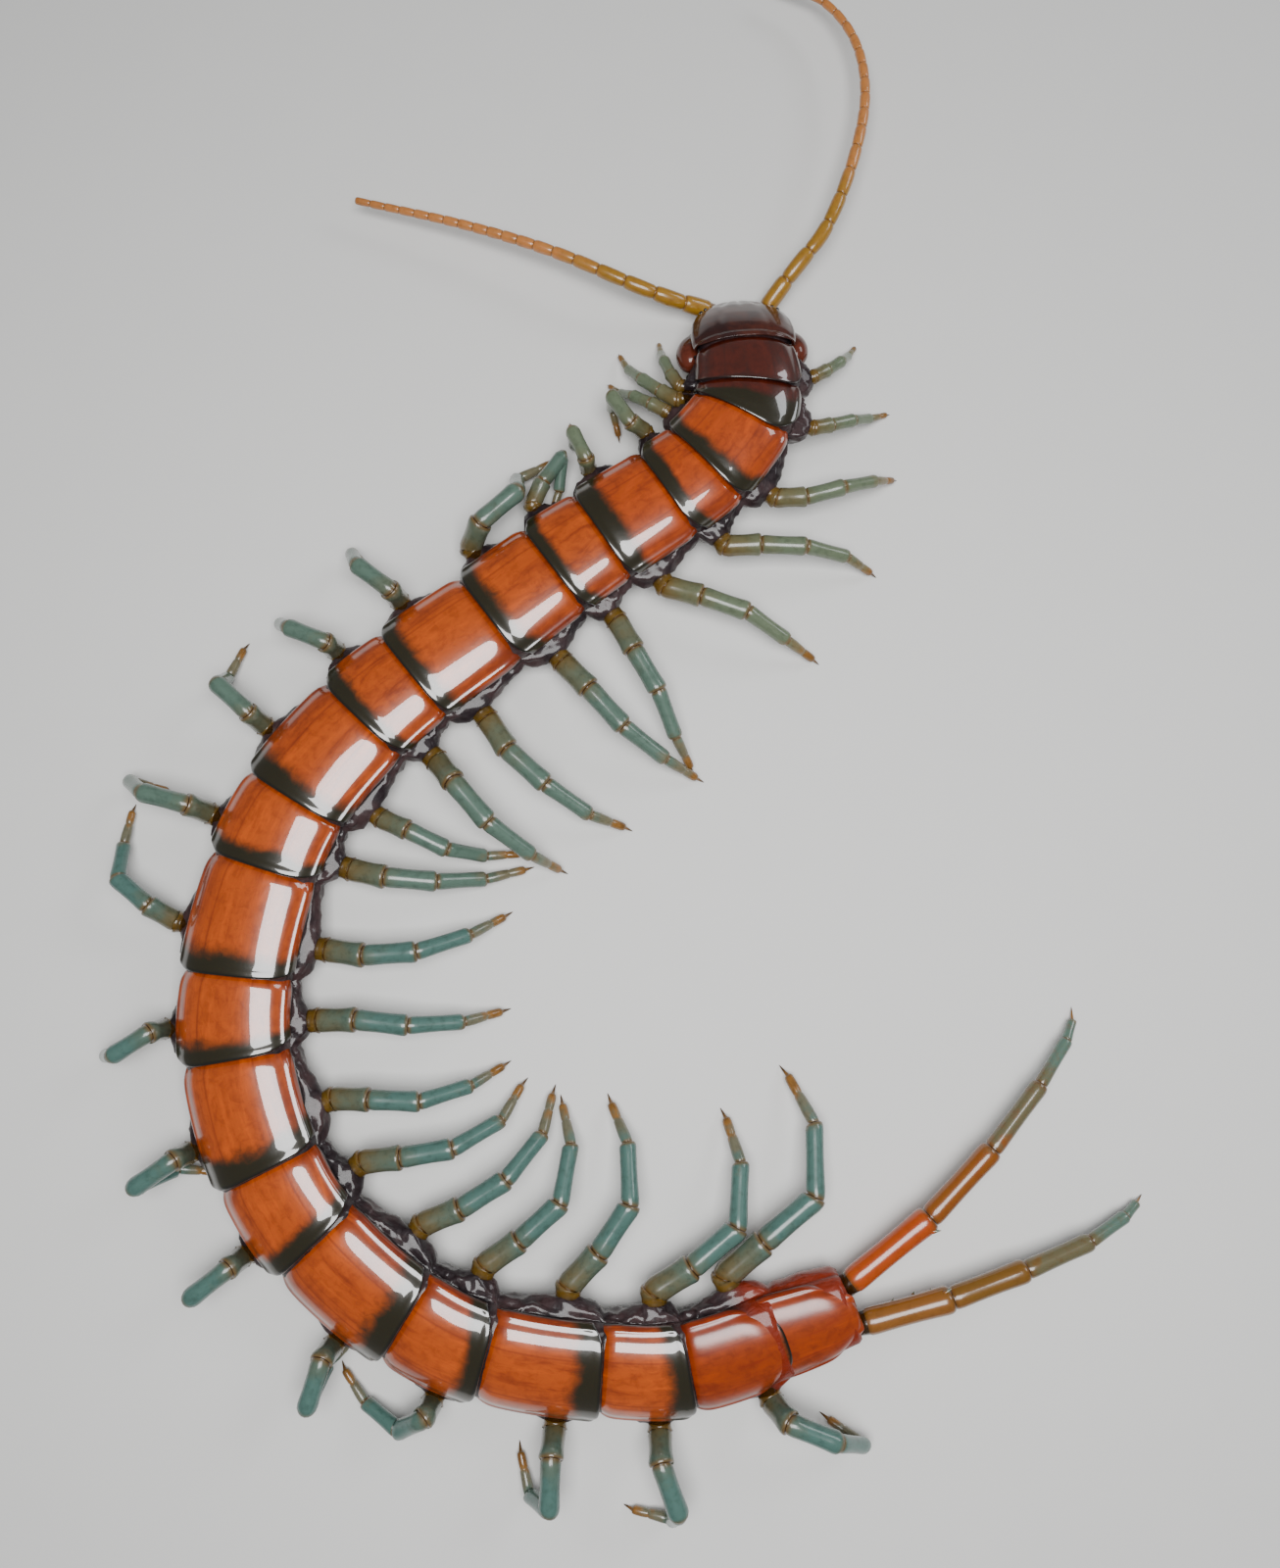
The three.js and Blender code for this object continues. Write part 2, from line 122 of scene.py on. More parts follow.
def toned(colour, share):
    """A lighter or darker tone of a colour."""
    return [min(1.0, value * share) for value in colour]


def blended(first, second, share):
    return [mix(a, b, share) for a, b in zip(first, second)]


def table(rows, x):
    """The value at x of rows of (x, value), joined by straight lines."""
    if x <= rows[0][0]:
        return rows[0][1]
    for (x0, y0), (x1, y1) in zip(rows, rows[1:]):
        if x <= x1:
            return mix(y0, y1, (x - x0) / (x1 - x0))
    return rows[-1][1]


# The body line is the same curve that the solids follow.


def rim_height(i):
    """Height of the plates' side rims behind stretch i; the neck is held up."""
    if i < 0:
        return HEAD_FRONT_RIM_HEIGHT
    return RIM_HEIGHT + 2.0 * bell(i, 1.5, 3) + 0.3 * bell(i, 17, 3)


def body_points():
    points = [Vector((*HEAD_FRONT, rim_height(-1)))]
    for i, (length, _, heading) in enumerate(STRETCHES):
        turn = math.radians(heading)
        step = Vector((math.cos(turn), math.sin(turn), 0)) * length
        after = points[-1] + step
        after.z = rim_height(i)
        points.append(after)
    return points


def curve_point(points, t):
    """A point of the smooth curve through the points, spaced by the roots of their distances."""
    last = len(points) - 1
    place = clamp(t) * last
    n = min(int(place), last - 1)
    w = place - n
    p1, p2 = points[n], points[n + 1]
    p0 = points[n - 1] if n > 0 else p1 * 2 - p2
    p3 = points[n + 2] if n + 2 <= last else p2 * 2 - p1
    d0 = max((p1 - p0).length ** 0.5, 1e-4)
    d1 = max((p2 - p1).length ** 0.5, 1e-4)
    d2 = max((p3 - p2).length ** 0.5, 1e-4)
    t1 = ((p1 - p0) / d0 - (p2 - p0) / (d0 + d1) + (p2 - p1) / d1) * d1
    t2 = ((p2 - p1) / d1 - (p3 - p1) / (d1 + d2) + (p3 - p2) / d2) * d1
    square, cube = w * w, w * w * w
    return p1 + t1 * w + (p2 * 3 - p1 * 3 - t1 * 2 - t2) * square + (p1 * 2 - p2 * 2 + t1 + t2) * cube


LINE = body_points()


def frame_at(i, share):
    """Place, tailward run, left side and the back's own up at a share of stretch i."""
    t = (i + share) / len(STRETCHES)
    along = (curve_point(LINE, t + 1e-4) - curve_point(LINE, t - 1e-4)).normalized()
    left = along.cross(UP).normalized()
    return curve_point(LINE, t), along, left, left.cross(along).normalized()


def lean(place):
    """How far the back leans towards the outside of the curl, in degrees."""
    return (6 + 11 * bell(place, 18.5, 3.2)) * clamp((place - 1) / 4)


def body_spot(i, share, x, z):
    """A point of the body: x to its left and z above the plates' rims. Past the ends it runs on."""
    centre, along, left, up = frame_at(i, share)
    over = i + share - len(STRETCHES)
    if over > 0:
        centre = centre + along * over * STRETCHES[-1][0]
    if i + share < 0:
        centre = centre + along * (i + share) * STRETCHES[0][0]
    turn = math.radians(lean(i + share) * clamp((z + BELLY_DEPTH) / BELLY_DEPTH))
    across = x * math.cos(turn) + z * math.sin(turn)
    rise = z * math.cos(turn) - x * math.sin(turn)
    return centre + left * across + up * rise


def width_at(i, share):
    front = HEAD_FRONT_WIDTH if i == 0 else STRETCHES[i - 1][1]
    return mix(front, STRETCHES[i][1], clamp(share))


def back_arch(reach, half):
    """Height of the back above its rim at a reach of 0 in the middle to 1 at the rim."""
    return BACK_ARCH * min(1, half / 6) * (1 - reach**2.2) ** 0.6


# Making meshes and finished pieces.


def new_mesh():
    bm = bmesh.new()
    bm.loops.layers.uv.new("Place")
    return bm


def woven(bm, columns, rows, place):
    """A grid whose points move to place(across, along), both from 0 to 1. UVs keep both."""
    uv = bm.loops.layers.uv["Place"]
    made = bmesh.ops.create_grid(bm, x_segments=columns, y_segments=rows, size=1)["verts"]
    for face in {face for vert in made for face in vert.link_faces}:
        for loop in face.loops:
            loop[uv].uv = ((loop.vert.co.x + 1) / 2, (loop.vert.co.y + 1) / 2)
    for vert in made:
        vert.co = place((vert.co.x + 1) / 2, (vert.co.y + 1) / 2) * MM
    return made


def tube(bm, rings, sides):
    """A round limb over rings of (centre, radius, run, how far along). Ends of radius 0 close it."""
    uv = bm.loops.layers.uv["Place"]
    last = len(rings) - 1
    axes = []
    above = UP
    for _, _, run, _ in rings:
        above = (above - run * above.dot(run)).normalized()
        axes.append((run.cross(above), above))

    def place(around, along):
        centre, radius, _, _ = rings[round(along * last)]
        side, above = axes[round(along * last)]
        turn = around * math.tau
        return centre + side * radius * math.sin(turn) + above * radius * math.cos(turn)

    made = woven(bm, sides, last, place)
    for face in {face for vert in made for face in vert.link_faces}:
        for loop in face.loops:
            around, along = loop[uv].uv
            loop[uv].uv = (around, rings[round(along * last)][3])


def piece(bm, name, finish, slot, *replaced, closed=True):
    """Makes the mesh a finished piece that rides on the body of the frame."""
    bmesh.ops.remove_doubles(bm, verts=bm.verts, dist=WELD)
    if closed:
        bmesh.ops.recalc_face_normals(bm, faces=bm.faces)
    elif sum(face.normal.z for face in bm.faces) < 0:
        bmesh.ops.reverse_faces(bm, faces=bm.faces)
    mesh = bpy.data.meshes.new(name)
    bm.to_mesh(mesh)
    bm.free()
    for polygon in mesh.polygons:
        polygon.use_smooth = True
    mesh.materials.append(finish)
    made = bpy.data.objects.new(name, mesh)
    bpy.context.scene.collection.objects.link(made)
    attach(made, "root")
    if replaced:
        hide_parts(*replaced)
    return made


def thicken(made, thickness):
    """Gives a sheet its thickness on its inner side."""
    wall = made.modifiers.new("wall", "SOLIDIFY")
    wall.thickness = thickness * MM
    wall.offset = -1.0
    wall.use_even_offset = True
    soften(made)


def soften(made):
    finer = made.modifiers.new("finer", "SUBSURF")
    finer.levels = 1
    finer.render_levels = 1


# Finishes.


class Finish:
    """A material and short ways to add its nodes."""

    def __init__(self, name, **sockets):
        self.material = bpy.data.materials.new(name)
        self.material.use_nodes = True
        self.tree = self.material.node_tree
        self.shader = self.tree.nodes["Principled BSDF"]
        self.colour = None
        for socket, value in sockets.items():
            self.shader.inputs[socket.replace("_", " ")].default_value = value

    def node(self, kind, inputs=(), **settings):
        made = self.tree.nodes.new(kind)
        for key, value in settings.items():
            setattr(made, key, value)
        for key, value in dict(inputs).items():
            if isinstance(value, bpy.types.NodeSocket):
                self.tree.links.new(value, made.inputs[key])
            else:
                made.inputs[key].default_value = value
        return made

    def place(self):
        """Across and along, from the piece's own UV map."""
        uv = self.node("ShaderNodeUVMap", uv_map="Place").outputs[0]
        return self.node("ShaderNodeSeparateXYZ", {0: uv}).outputs

    def math(self, operation, a, b=0.0, c=0.0):
        return self.node("ShaderNodeMath", {0: a, 1: b, 2: c}, operation=operation).outputs[0]

    def distance(self, value, middle):
        return self.math("ABSOLUTE", self.math("SUBTRACT", value, middle))

    def noise(self, scale, detail=3.0, roughness=0.55, distortion=0.0):
        spot = self.node("ShaderNodeTexCoord").outputs["Object"]
        sockets = {"Vector": spot, "Scale": scale, "Detail": detail}
        sockets.update({"Roughness": roughness, "Distortion": distortion})
        return self.node("ShaderNodeTexNoise", sockets).outputs["Fac"]

    def step(self, value, low, high, start=0.0, end=1.0):
        sockets = {"Value": value, "From Min": low, "From Max": high, "To Min": start, "To Max": end}
        made = self.node("ShaderNodeMapRange", sockets, interpolation_type="SMOOTHSTEP")
        return made.outputs[0]

    def blend(self, share, first, second, how="MIX"):
        inputs = {0: share}
        for key, colour in ((6, first), (7, second)):
            inputs[key] = colour if isinstance(colour, bpy.types.NodeSocket) else (*colour, 1)
        return self.node("ShaderNodeMix", inputs, data_type="RGBA", blend_type=how).outputs[2]

    def paint(self, share, colour, how="MIX"):
        """Covers the colour so far with another one where share is 1."""
        self.colour = self.blend(share, self.colour, colour, how)

    def ramp(self, value, stops):
        made = self.node("ShaderNodeValToRGB", {0: value})
        elements = made.color_ramp.elements
        while len(elements) < len(stops):
            elements.new(0.5)
        for element, (spot, colour) in zip(elements, stops):
            element.position = spot
            element.color = (*colour, 1)
        return made.outputs[0]

    def link(self, value, socket):
        self.tree.links.new(value, self.shader.inputs[socket])

    def waxy(self, weight, *depth):
        """Lets light a little way below the surface: metres for red, green and blue."""
        self.shader.inputs["Subsurface Weight"].default_value = weight
        self.shader.inputs["Subsurface Radius"].default_value = depth

    def near_joint(self, along, count):
        """Rises to 0.5 at both ends of each article or bead of a limb."""
        return self.distance(self.math("FRACT", self.math("MULTIPLY", along, float(count))), 0.5)

    def bump(self, height, strength, distance):
        sockets = {"Height": height, "Strength": strength, "Distance": distance * MM}
        self.link(self.node("ShaderNodeBump", sockets).outputs[0], "Normal")

    def finished(self, height, strength, distance):
        """Sets the colour and the fine relief, and gives the material."""
        self.link(self.colour, "Base Color")
        self.bump(height, strength, distance)
        return self.material


GLOSS = {
    "Roughness": 0.3,
    "Coat_Weight": 1.0,
    "Coat_Roughness": 0.04,
    "Coat_IOR": 1.65,
    "Specular_IOR_Level": 0.35,
}
# The tail's shell shines less than the rest of the back.
SATIN = {**GLOSS, "Coat_Weight": 0.55, "Coat_Roughness": 0.24}


def fibre_streaks(made, across, along):
    """Noise drawn out along the body, different on each plate."""
    spot = made.node("ShaderNodeTexCoord").outputs["Object"]
    spot = made.node("ShaderNodeSeparateXYZ", {0: spot}).outputs
    run = {0: made.math("MULTIPLY", across, 15.0), 1: made.math("MULTIPLY", along, 1.7)}
    run[2] = made.math("MULTIPLY", spot[0], 90.0)
    sockets = {"Vector": made.node("ShaderNodeCombineXYZ", run).outputs[0], "Scale": 1.0}
    sockets.update({"Detail": 6.0, "Roughness": 0.62, "Distortion": 0.5})
    return made.node("ShaderNodeTexNoise", sockets).outputs["Fac"]


def plate_finish(name, middle, edge, band, rim, band_start=0.74, rear_line=0.955, gloss=GLOSS):
    """Glossy back plate: a warm middle, redder sides darkened by painted shade, a dark rear band and dull
    purple rims.
    """
    made = Finish(name, **gloss)
    made.waxy(0.06, 0.0012, 0.0004, 0.0001)
    across, along, _ = made.place()
    reach = made.math("MULTIPLY", made.distance(across, 0.5), 2.0)
    fine = made.noise(900.0, 5.0, 0.65, 0.6)
    sides = made.step(made.noise(170.0, 2.0), 0.4, 0.68, -0.12, 0.12)
    # The sides turn redder, and darker as painted shade where the plate curves down away from the light.
    redder_side_and_shade = made.step(made.math("ADD", reach, sides), 0.3, 0.98)
    made.colour = made.blend(redder_side_and_shade, middle, edge)
    front = made.step(along, 0.02, 0.2, 0.6, 0.0)
    made.paint(front, edge)
    speckle = made.step(fine, 0.42, 0.68, 0.0, 0.3)
    made.paint(speckle, edge, "MULTIPLY")
    streak = fibre_streaks(made, across, along)
    made.paint(made.step(streak, 0.5, 0.72, 0.0, 0.75), edge)
    made.paint(made.step(streak, 0.5, 0.3, 0.0, 0.45), toned(middle, 1.6))
    groove = made.distance(reach, 0.3)
    made.paint(made.step(groove, 0.0, 0.022, 0.5, 0.0), edge)
    ragged = made.math("ADD", along, made.math("MULTIPLY_ADD", fine, 0.08, -0.04))
    wavy = made.math("MULTIPLY", sides, 0.3)
    rear = made.step(made.math("ADD", ragged, wavy), band_start - 0.07, band_start + 0.09)
    made.paint(rear, band)
    # A near-black line along the plate's rear edge.
    made.paint(made.step(along, rear_line, rear_line + 0.03), toned(band, 0.3))
    made.paint(made.step(reach, 0.9, 0.955), rim)
    return made.finished(fine, 0.4, 0.04)


def skin_finish(colours):
    """Wet dark skin with fine folds, and red shell on the sides of the last segment."""
    made = Finish("wet_skin", Roughness=0.5, Coat_Weight=0.45, Coat_Roughness=0.12)
    made.shader.inputs["Specular IOR Level"].default_value = 0.2
    broad = made.noise(260.0, 3.0)
    fine = made.noise(1500.0, 4.0, 0.6, 0.8)
    made.colour = made.blend(made.step(broad, 0.38, 0.64), colours.skin, colours.skin_light)
    made.paint(made.step(fine, 0.5, 0.75, 0.0, 0.6), toned(colours.skin, 0.4))
    _, along, _ = made.place()
    tail = made.step(along, TAIL_SKIN - 0.02, TAIL_SKIN - 0.006)
    made.paint(tail, colours.tail_side)
    return made.finished(made.noise(620.0, 5.0, 0.65, 1.2), 1.0, 0.35)


def colour_run(made, stops, patches, drift, grain):
    """Colours along a limb, with cloudy borders. Gives the run along it and its fine grain."""
    _, along, _ = made.place()
    shade = made.step(made.noise(patches), 0.35, 0.7, -drift, drift)
    made.colour = made.ramp(made.math("ADD", along, shade), stops)
    return along, made.noise(grain, 4.0, 0.6)


def leg_finish(name, blade, base, foot, ring):
    """Clear, cool legs with a warm base, warm feet and thin dark rings at the joints."""
    made = Finish(name, Roughness=0.27, Coat_Weight=0.35, Coat_Roughness=0.1, IOR=1.47)
    made.waxy(0.3, 0.0007, 0.0009, 0.0008)
    dull = blended(foot, blade, 0.6)
    stops = (
        (0.0, toned(base, 0.5)),
        (0.1, base),
        (0.22, blended(base, blade, 0.45)),
        (0.34, blended(base, blade, 0.8)),
        (0.4, blade),
        (0.64, blade),
        (0.7, dull),
        (0.75, dull),
        (0.79, foot),
        (0.9, toned(foot, 0.3)),
    )
    along, fine = colour_run(made, stops, 520.0, 0.035, 1400.0)
    grain = made.step(fine, 0.45, 0.75, 0.0, 0.3)
    made.paint(grain, toned(blade, 0.7), "MULTIPLY")
    near = made.near_joint(along, LEG_ARTICLES)
    warm = made.step(near, 0.42, 0.485, 0.0, 0.75)
    made.paint(warm, blended(base, ring, 0.5))
    made.paint(made.step(near, 0.487, 0.497), toned(ring, 0.22))
    return made.finished(fine, 0.12, 0.02)


def feeler_finish(colours):
    """Orange-tan beads with warmer, thicker ones at the root and thin dark joints."""
    made = Finish("feeler", Roughness=0.3, Coat_Weight=0.4, Coat_Roughness=0.1)
    made.waxy(0.3, 0.0008, 0.0004, 0.0002)
    stops = (
        (0.0, colours.feeler_root),
        (0.16, colours.feeler_root),
        (0.34, colours.feeler),
        (0.8, colours.feeler),
        (1.0, toned(colours.feeler, 0.8)),
    )
    along, fine = colour_run(made, stops, 300.0, 0.04, 1300.0)
    made.paint(made.step(fine, 0.45, 0.75, 0.0, 0.35), colours.joint)
    near = made.near_joint(along, FEELER_BEADS)
    made.paint(made.step(near, 0.44, 0.495, 0.0, 0.8), colours.joint)
    return made.finished(fine, 0.2, 0.02)


def shell_finish(name, dark, light, roughness=0.22, tip=None):
    """Plain hard shell with cloudy patches; a tip colour takes over towards the end of the run."""
    made = Finish(name, Roughness=roughness, Coat_Weight=0.4, Coat_Roughness=0.07)
    made.shader.inputs["Specular IOR Level"].default_value = 0.3
    broad = made.noise(330.0, 3.0, 0.6, 0.4)
    fine = made.noise(1100.0, 5.0, 0.65)
    made.colour = made.blend(made.step(broad, 0.36, 0.66), dark, light)
    made.paint(made.step(fine, 0.48, 0.72, 0.0, 0.5), toned(dark, 0.6))
    if tip:
        _, along, _ = made.place()
        made.paint(made.step(along, 0.55, 0.8), tip)
    return made.finished(fine, 0.2, 0.03)


# Shapes of the body. Heights count from the plates' side rims.


def plate_spot(sizes, i, across, along):
    """The upper face of back plate i: tucked in at its front, rims raised, rear corners rounded."""
    length = STRETCHES[i][0]
    s = math.sin((across - 0.5) * math.pi)
    reach = abs(s)
    tail = i >= SEGMENTS - 1
    corner = sizes.corner * (TAIL_ROUNDING if tail else 1)
    rear = 1 + (sizes.overhang - corner * reach ** (3.5 if tail else 7)) / length
    tuck = sizes.tuck + (TAIL_TUCK if i == SEGMENTS else 0)
    share = mix(-tuck / length, rear, along)
    inner = clamp(share) ** 0.8
    half = width_at(i, share) / 2 - PLATE_FLARE * (1 - inner)
    half -= sizes.corner * 0.45 * smooth(1 - along / 0.3) ** 2
    half -= corner * 0.4 * smooth((along - 0.6) / 0.4) ** 2 if tail else 0
    z = back_arch(reach, half) + PLATE_STEP * inner - PLATE_STEP / 2
    # The front dips below the plate before; rims rise at the sides and rear, with grooves inside.
    z -= 0.42 * smooth(1 - along / 0.16)
    z += sizes.rim_height * bell(reach, 0.955, 0.035) * smooth(along / 0.2)
    z += sizes.rim_height * 0.6 * bell(along, 0.965, 0.025) * (1 - reach**4)
    z -= sizes.groove_depth * bell(reach, 0.3, 0.02) * smooth(along / 0.12)
    z -= sizes.groove_depth * 1.3 * bell(reach, 0.86, 0.05)
    z -= sizes.groove_depth * 1.2 * bell(along, 0.9, 0.05) * (1 - reach**6)
    return body_spot(i, share, s * half, z)


def flank_outline(i, share):
    """Half a body section from the middle of the back to the middle of the belly."""
    inner = clamp(share) ** 0.8
    half = width_at(i, share) / 2 - PLATE_FLARE * (1 - inner)
    lift = PLATE_STEP * inner - PLATE_STEP / 2
    near_leg = clamp(clamp(1 - abs(share - LEG_PLACE) * 2.2) * 1.6)
    bulge = mix(1.0, FLANK_BULGE, smooth(near_leg))
    slim = mix(1, 0.86, share) if i == SEGMENTS else 1
    rows = [(x * half * 0.96, back_arch(x, half) + lift - 0.32) for x in (0, 0.36, 0.67, 0.88)]
    rows += [
        (half * 0.93, lift - 0.35),
        (half * 0.91, -0.62),
        (half * bulge * slim, -1.15),
        (half * bulge * slim, -2.7),
        (half * 0.86 * slim, -3.6),
        (half * 0.5 * slim, -4.0),
        (0, -4.05),
    ]
    return [Vector((x, z)) for x, z in rows]


def skin_spot(sizes, outlines, around, along):
    """A point of the skin: folds run along the flanks and gather between the segments."""
    place = mix(SKIN_START, SKIN_END, along)
    i = min(int(place), SEGMENTS)
    share = place - i
    side = 1 if around < 0.5 else -1
    q = around * 2 if around < 0.5 else 2 - around * 2
    key = round(place, 5)
    if key not in outlines:
        outlines[key] = flank_outline(i, share)
    x, z = curve_point(outlines[key], q)
    flank = bell(q, 0.6, 0.16)
    flank *= mix(1, TAIL_FOLD_SHARE, smooth((place - SEGMENTS + 0.3) / 0.3))
    between = bell(share, 0, 0.07) + bell(share, 1, 0.07)
    bend = 1.3 * math.sin(place * math.tau * 2) + 0.8 * math.sin(place * math.tau * 3.1 + side)
    swell = math.sin(q * FINE_FOLDS + bend) * 0.6 + math.sin(q * BROAD_FOLDS + place * 9) * 0.3
    swell += math.sin(place * 43 + q * 19 + side) * 0.3
    out = sizes.fold_depth * swell * flank * (1 - 0.5 * bell(share, LEG_PLACE, 0.12))
    out -= 0.4 * between * bell(q, 0.7, 0.2)
    out += 0.22 * bell(share, 0.3, 0.07) * bell(q, 0.58, 0.05)
    collar = bell(share, LEG_PLACE, COLLAR_LENGTH / STRETCHES[i][0]) * bell(q, 0.6, 0.1)
    out += (COLLAR_DEPTH if 0 < i < SEGMENTS else 0) * collar
    scale = 1 + out / max(0.5, math.hypot(x, z - FLANK_MIDDLE))
    x, z = x * scale, (z - FLANK_MIDDLE) * scale + FLANK_MIDDLE
    narrowed = mix(0.82, 1, smooth((SKIN_END - place) / 0.08))
    return body_spot(i, share, side * x * narrowed, mix(FLANK_MIDDLE, z, narrowed))


def limb_rings(node, near):
    """Centres and radii of the rings of a limb's solid, from the end near a place to its tip."""
    bm = bmesh.new()
    bm.from_mesh(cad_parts[node].data)
    bmesh.ops.remove_doubles(bm, verts=bm.verts, dist=WELD)

    def is_flat(vert):
        return all(face.normal.dot(vert.link_faces[0].normal) > 0.9999 for face in vert.link_faces)

    ends = [vert for vert in bm.verts if is_flat(vert)]
    level = [min(ends, key=lambda vert: (vert.co / MM - near).length)]
    seen = set(level)
    rings = []
    while level:
        spots = [vert.co / MM for vert in level]
        centre = sum(spots, Vector()) / len(spots)
        rings.append((centre, sum((spot - centre).length for spot in spots) / len(spots)))
        after = []
        for vert in level:
            for edge in vert.link_edges:
                other = edge.other_vert(vert)
                if other not in seen:
                    seen.add(other)
                    after.append(other)
        level = after
    bm.free()
    # The first and last are the middle points of the flat ends.
    return rings[1:-1]


# Thickness along one article of a leg, as share of its length and of its radius.
ARTICLE = (
    (0.0, 0.9), (0.015, 0.93), (0.04, 1.0), (0.1, 1.03), (0.2, 1.02), (0.4, 1.01), (0.6, 1.03),
    (0.78, 1.08), (0.9, 1.13), (0.95, 1.12), (0.98, 1.04), (0.996, 0.93),
)
# The foot article is in two parts, with a joint past its middle.
FOOT = (
    (0.0, 0.84), (0.02, 0.92), (0.08, 1.0), (0.25, 1.05), (0.45, 1.0), (0.56, 0.96),
    (0.59, 0.84), (0.61, 0.8), (0.64, 0.9), (0.75, 0.97), (0.9, 0.98), (0.96, 0.92),
    (0.99, 0.8),
)
CLAW = ((0.0, 0.7), (0.05, 0.66), (0.12, 0.56), (0.35, 0.42), (0.65, 0.27), (0.88, 0.13), (1.0, 0.0))


def article_tube(bm, joints, radii, profiles, sides, start_run):
    """A limb of articles through joints, each with its radius and its profile of thickness."""
    runs = [(b - a).normalized() for a, b in zip(joints, joints[1:])]
    rings = [(joints[0] - start_run * 1.1, 0.0, start_run, 0.0)]
    rings.append((joints[0] - start_run * 1.05, radii[0] * 0.8, start_run, 0.0))
    count = len(runs)
    for n, profile in enumerate(profiles):
        before = start_run if n == 0 else (runs[n - 1] + runs[n]).normalized()
        after = runs[n] if n == count - 1 else (runs[n] + runs[n + 1]).normalized()
        for share, fullness in profile:
            near = 1 - smooth(min(share, 1 - share) / 0.14)
            bend = before if share < 0.5 else after
            run = (runs[n] * (1 - near) + bend * near).normalized()
            after_radius = radii[min(n + 1, count - 1)]
            size = mix(radii[n], (radii[n] + after_radius) / 2, share) * fullness
            spot = joints[n].lerp(joints[n + 1], share)
            rings.append((spot, size, run, (n + share) / count))
    if rings[-1][1] > 0:
        rings.append((joints[-1], 0.0, runs[-1], 1.0))
    tube(bm, rings, sides)


# Thickness along a spine, as share of its length and of its radius.
SPINE = ((0.15, 0.85), (0.4, 0.6), (0.7, 0.33), (0.9, 0.14), (1.0, 0.0))


def spike(bm, foot, run, length, radius):
    """A small pointed spine."""
    rings = [(foot - run * radius, 0.0, run, 0.0), (foot - run * radius * 0.9, radius, run, 0.0)]
    for share, fullness in SPINE:
        rings.append((foot + run * length * share, radius * fullness, run, share))
    tube(bm, rings, 8)


def leg_joints(node, near, per_article):
    """Joints and article radii of a leg, read from the rings of its solid."""
    rings = limb_rings(node, near)
    stops = [0]
    for count in per_article:
        stops.append(stops[-1] + count)
    joints = [rings[n][0] for n in stops]
    radii = [max(rings[k][1] for k in range(a, b)) for a, b in zip(stops, stops[1:])]
    return joints, radii


def lower_claw(joints):
    """Bends the claw down so that its point meets the floor."""
    tip = joints[-1].copy()
    tip.z = CLAW_TIP_HEIGHT
    return joints[:-1] + [tip]


# How many rings of a leg's solid each of its articles spans.
WALKING_STOPS = (1, 3, 3, 3, 2, 2)
TRAILING_STOPS = (3, 3, 3, 3, 3, 2)
FEELER_BEADS = 19
# Thickness along a bead of a feeler, as share of its length and of its radius.
BEAD = (
    (0.0, 0.78), (0.03, 0.86), (0.1, 0.95), (0.3, 1.0), (0.55, 1.04), (0.8, 1.05), (0.93, 1.0),
    (0.985, 0.88),
)


def feeler_tube(bm, node):
    """A feeler of short beads along the middle line of its solid, long at its root."""
    rings = limb_rings(node, frame_at(0, 0.1)[0])
    line = [centre for centre, _ in rings]
    for _ in range(4):
        for n in range(1, 6):
            line[n] = (line[n - 1] + line[n] * 2 + line[n + 1]) / 4
    lengths = [mix(1.55, 0.72, smooth(n / 9)) for n in range(FEELER_BEADS)]
    total = sum(lengths)
    done = 0.0
    root_run = (line[1] - line[0]).normalized()
    # Both ends are closed a little beyond the solid's.
    made = [(line[0] - root_run * 0.75, 0.0, root_run, 0.0)]
    made.append((line[0] - root_run * 0.7, rings[0][1] * 0.8, root_run, 0.0))
    for n, length in enumerate(lengths):
        for share, fullness in BEAD:
            t = (done + length * share) / total
            spot = curve_point(line, t)
            run = (curve_point(line, t + 0.004) - curve_point(line, t - 0.004)).normalized()
            radius = mix(1.08, 0.4, t**0.6) * fullness
            made.append((spot, radius, run, (n + share) / FEELER_BEADS))
        done += length
    end, run = line[-1], made[-1][2]
    made.append((end - run * 0.05, 0.3, run, 0.995))
    made.append((end + run * 0.12, 0.0, run, 0.999))
    tube(bm, made, 16)


# Half width of the head plate by its share of the head's length from the front.
HEAD_HALF = (
    (-0.02, 0.9), (0.0, 1.6), (0.03, 2.35), (0.08, 3.1), (0.18, 4.15), (0.34, 5.15),
    (0.5, 5.65), (0.7, 5.85), (0.86, 5.8), (1.03, 5.5),
)
# Height of the head plate's middle by its share of the head's length.
HEAD_RISE = ((-0.02, 0.25), (0.03, 0.85), (0.18, 1.5), (0.34, 1.95), (0.58, 2.3), (0.82, 2.5), (1.03, 2.55))


def head_spot(sizes, across, along):
    """The head plate: domed, notched between the feelers, its rear margin proud of the neck."""
    s = math.sin((across - 0.5) * math.pi)
    reach = abs(s)
    notch = 0.03 * bell(s, 0, 0.13)
    share = mix(-0.015 + notch, 1.035 - 0.07 * reach**8, 1 - (1 - along) ** 1.35)
    half = table(HEAD_HALF, share)
    z = table(HEAD_RISE, share) * (1 - reach**2.4) ** 0.55
    z -= sizes.groove_depth * 3.2 * bell(reach, 0.4, 0.07) * bell(share, 0.2, 0.16)
    z -= sizes.groove_depth * 3 * bell(s, 0, 0.045) * smooth((0.45 - share) / 0.3)
    groove = bell(reach, mix(0.3, 0.5, share), 0.03) * smooth((share - 0.4) / 0.2)
    z -= sizes.groove_depth * 1.6 * groove
    z += sizes.rim_height * 0.8 * bell(share, 0.985, 0.02)
    z -= sizes.groove_depth * 1.6 * bell(share, 0.93, 0.03)
    z += sizes.rim_height * 0.7 * bell(reach, 0.96, 0.03) * smooth(share / 0.2)
    return body_spot(0, share, s * half, z)


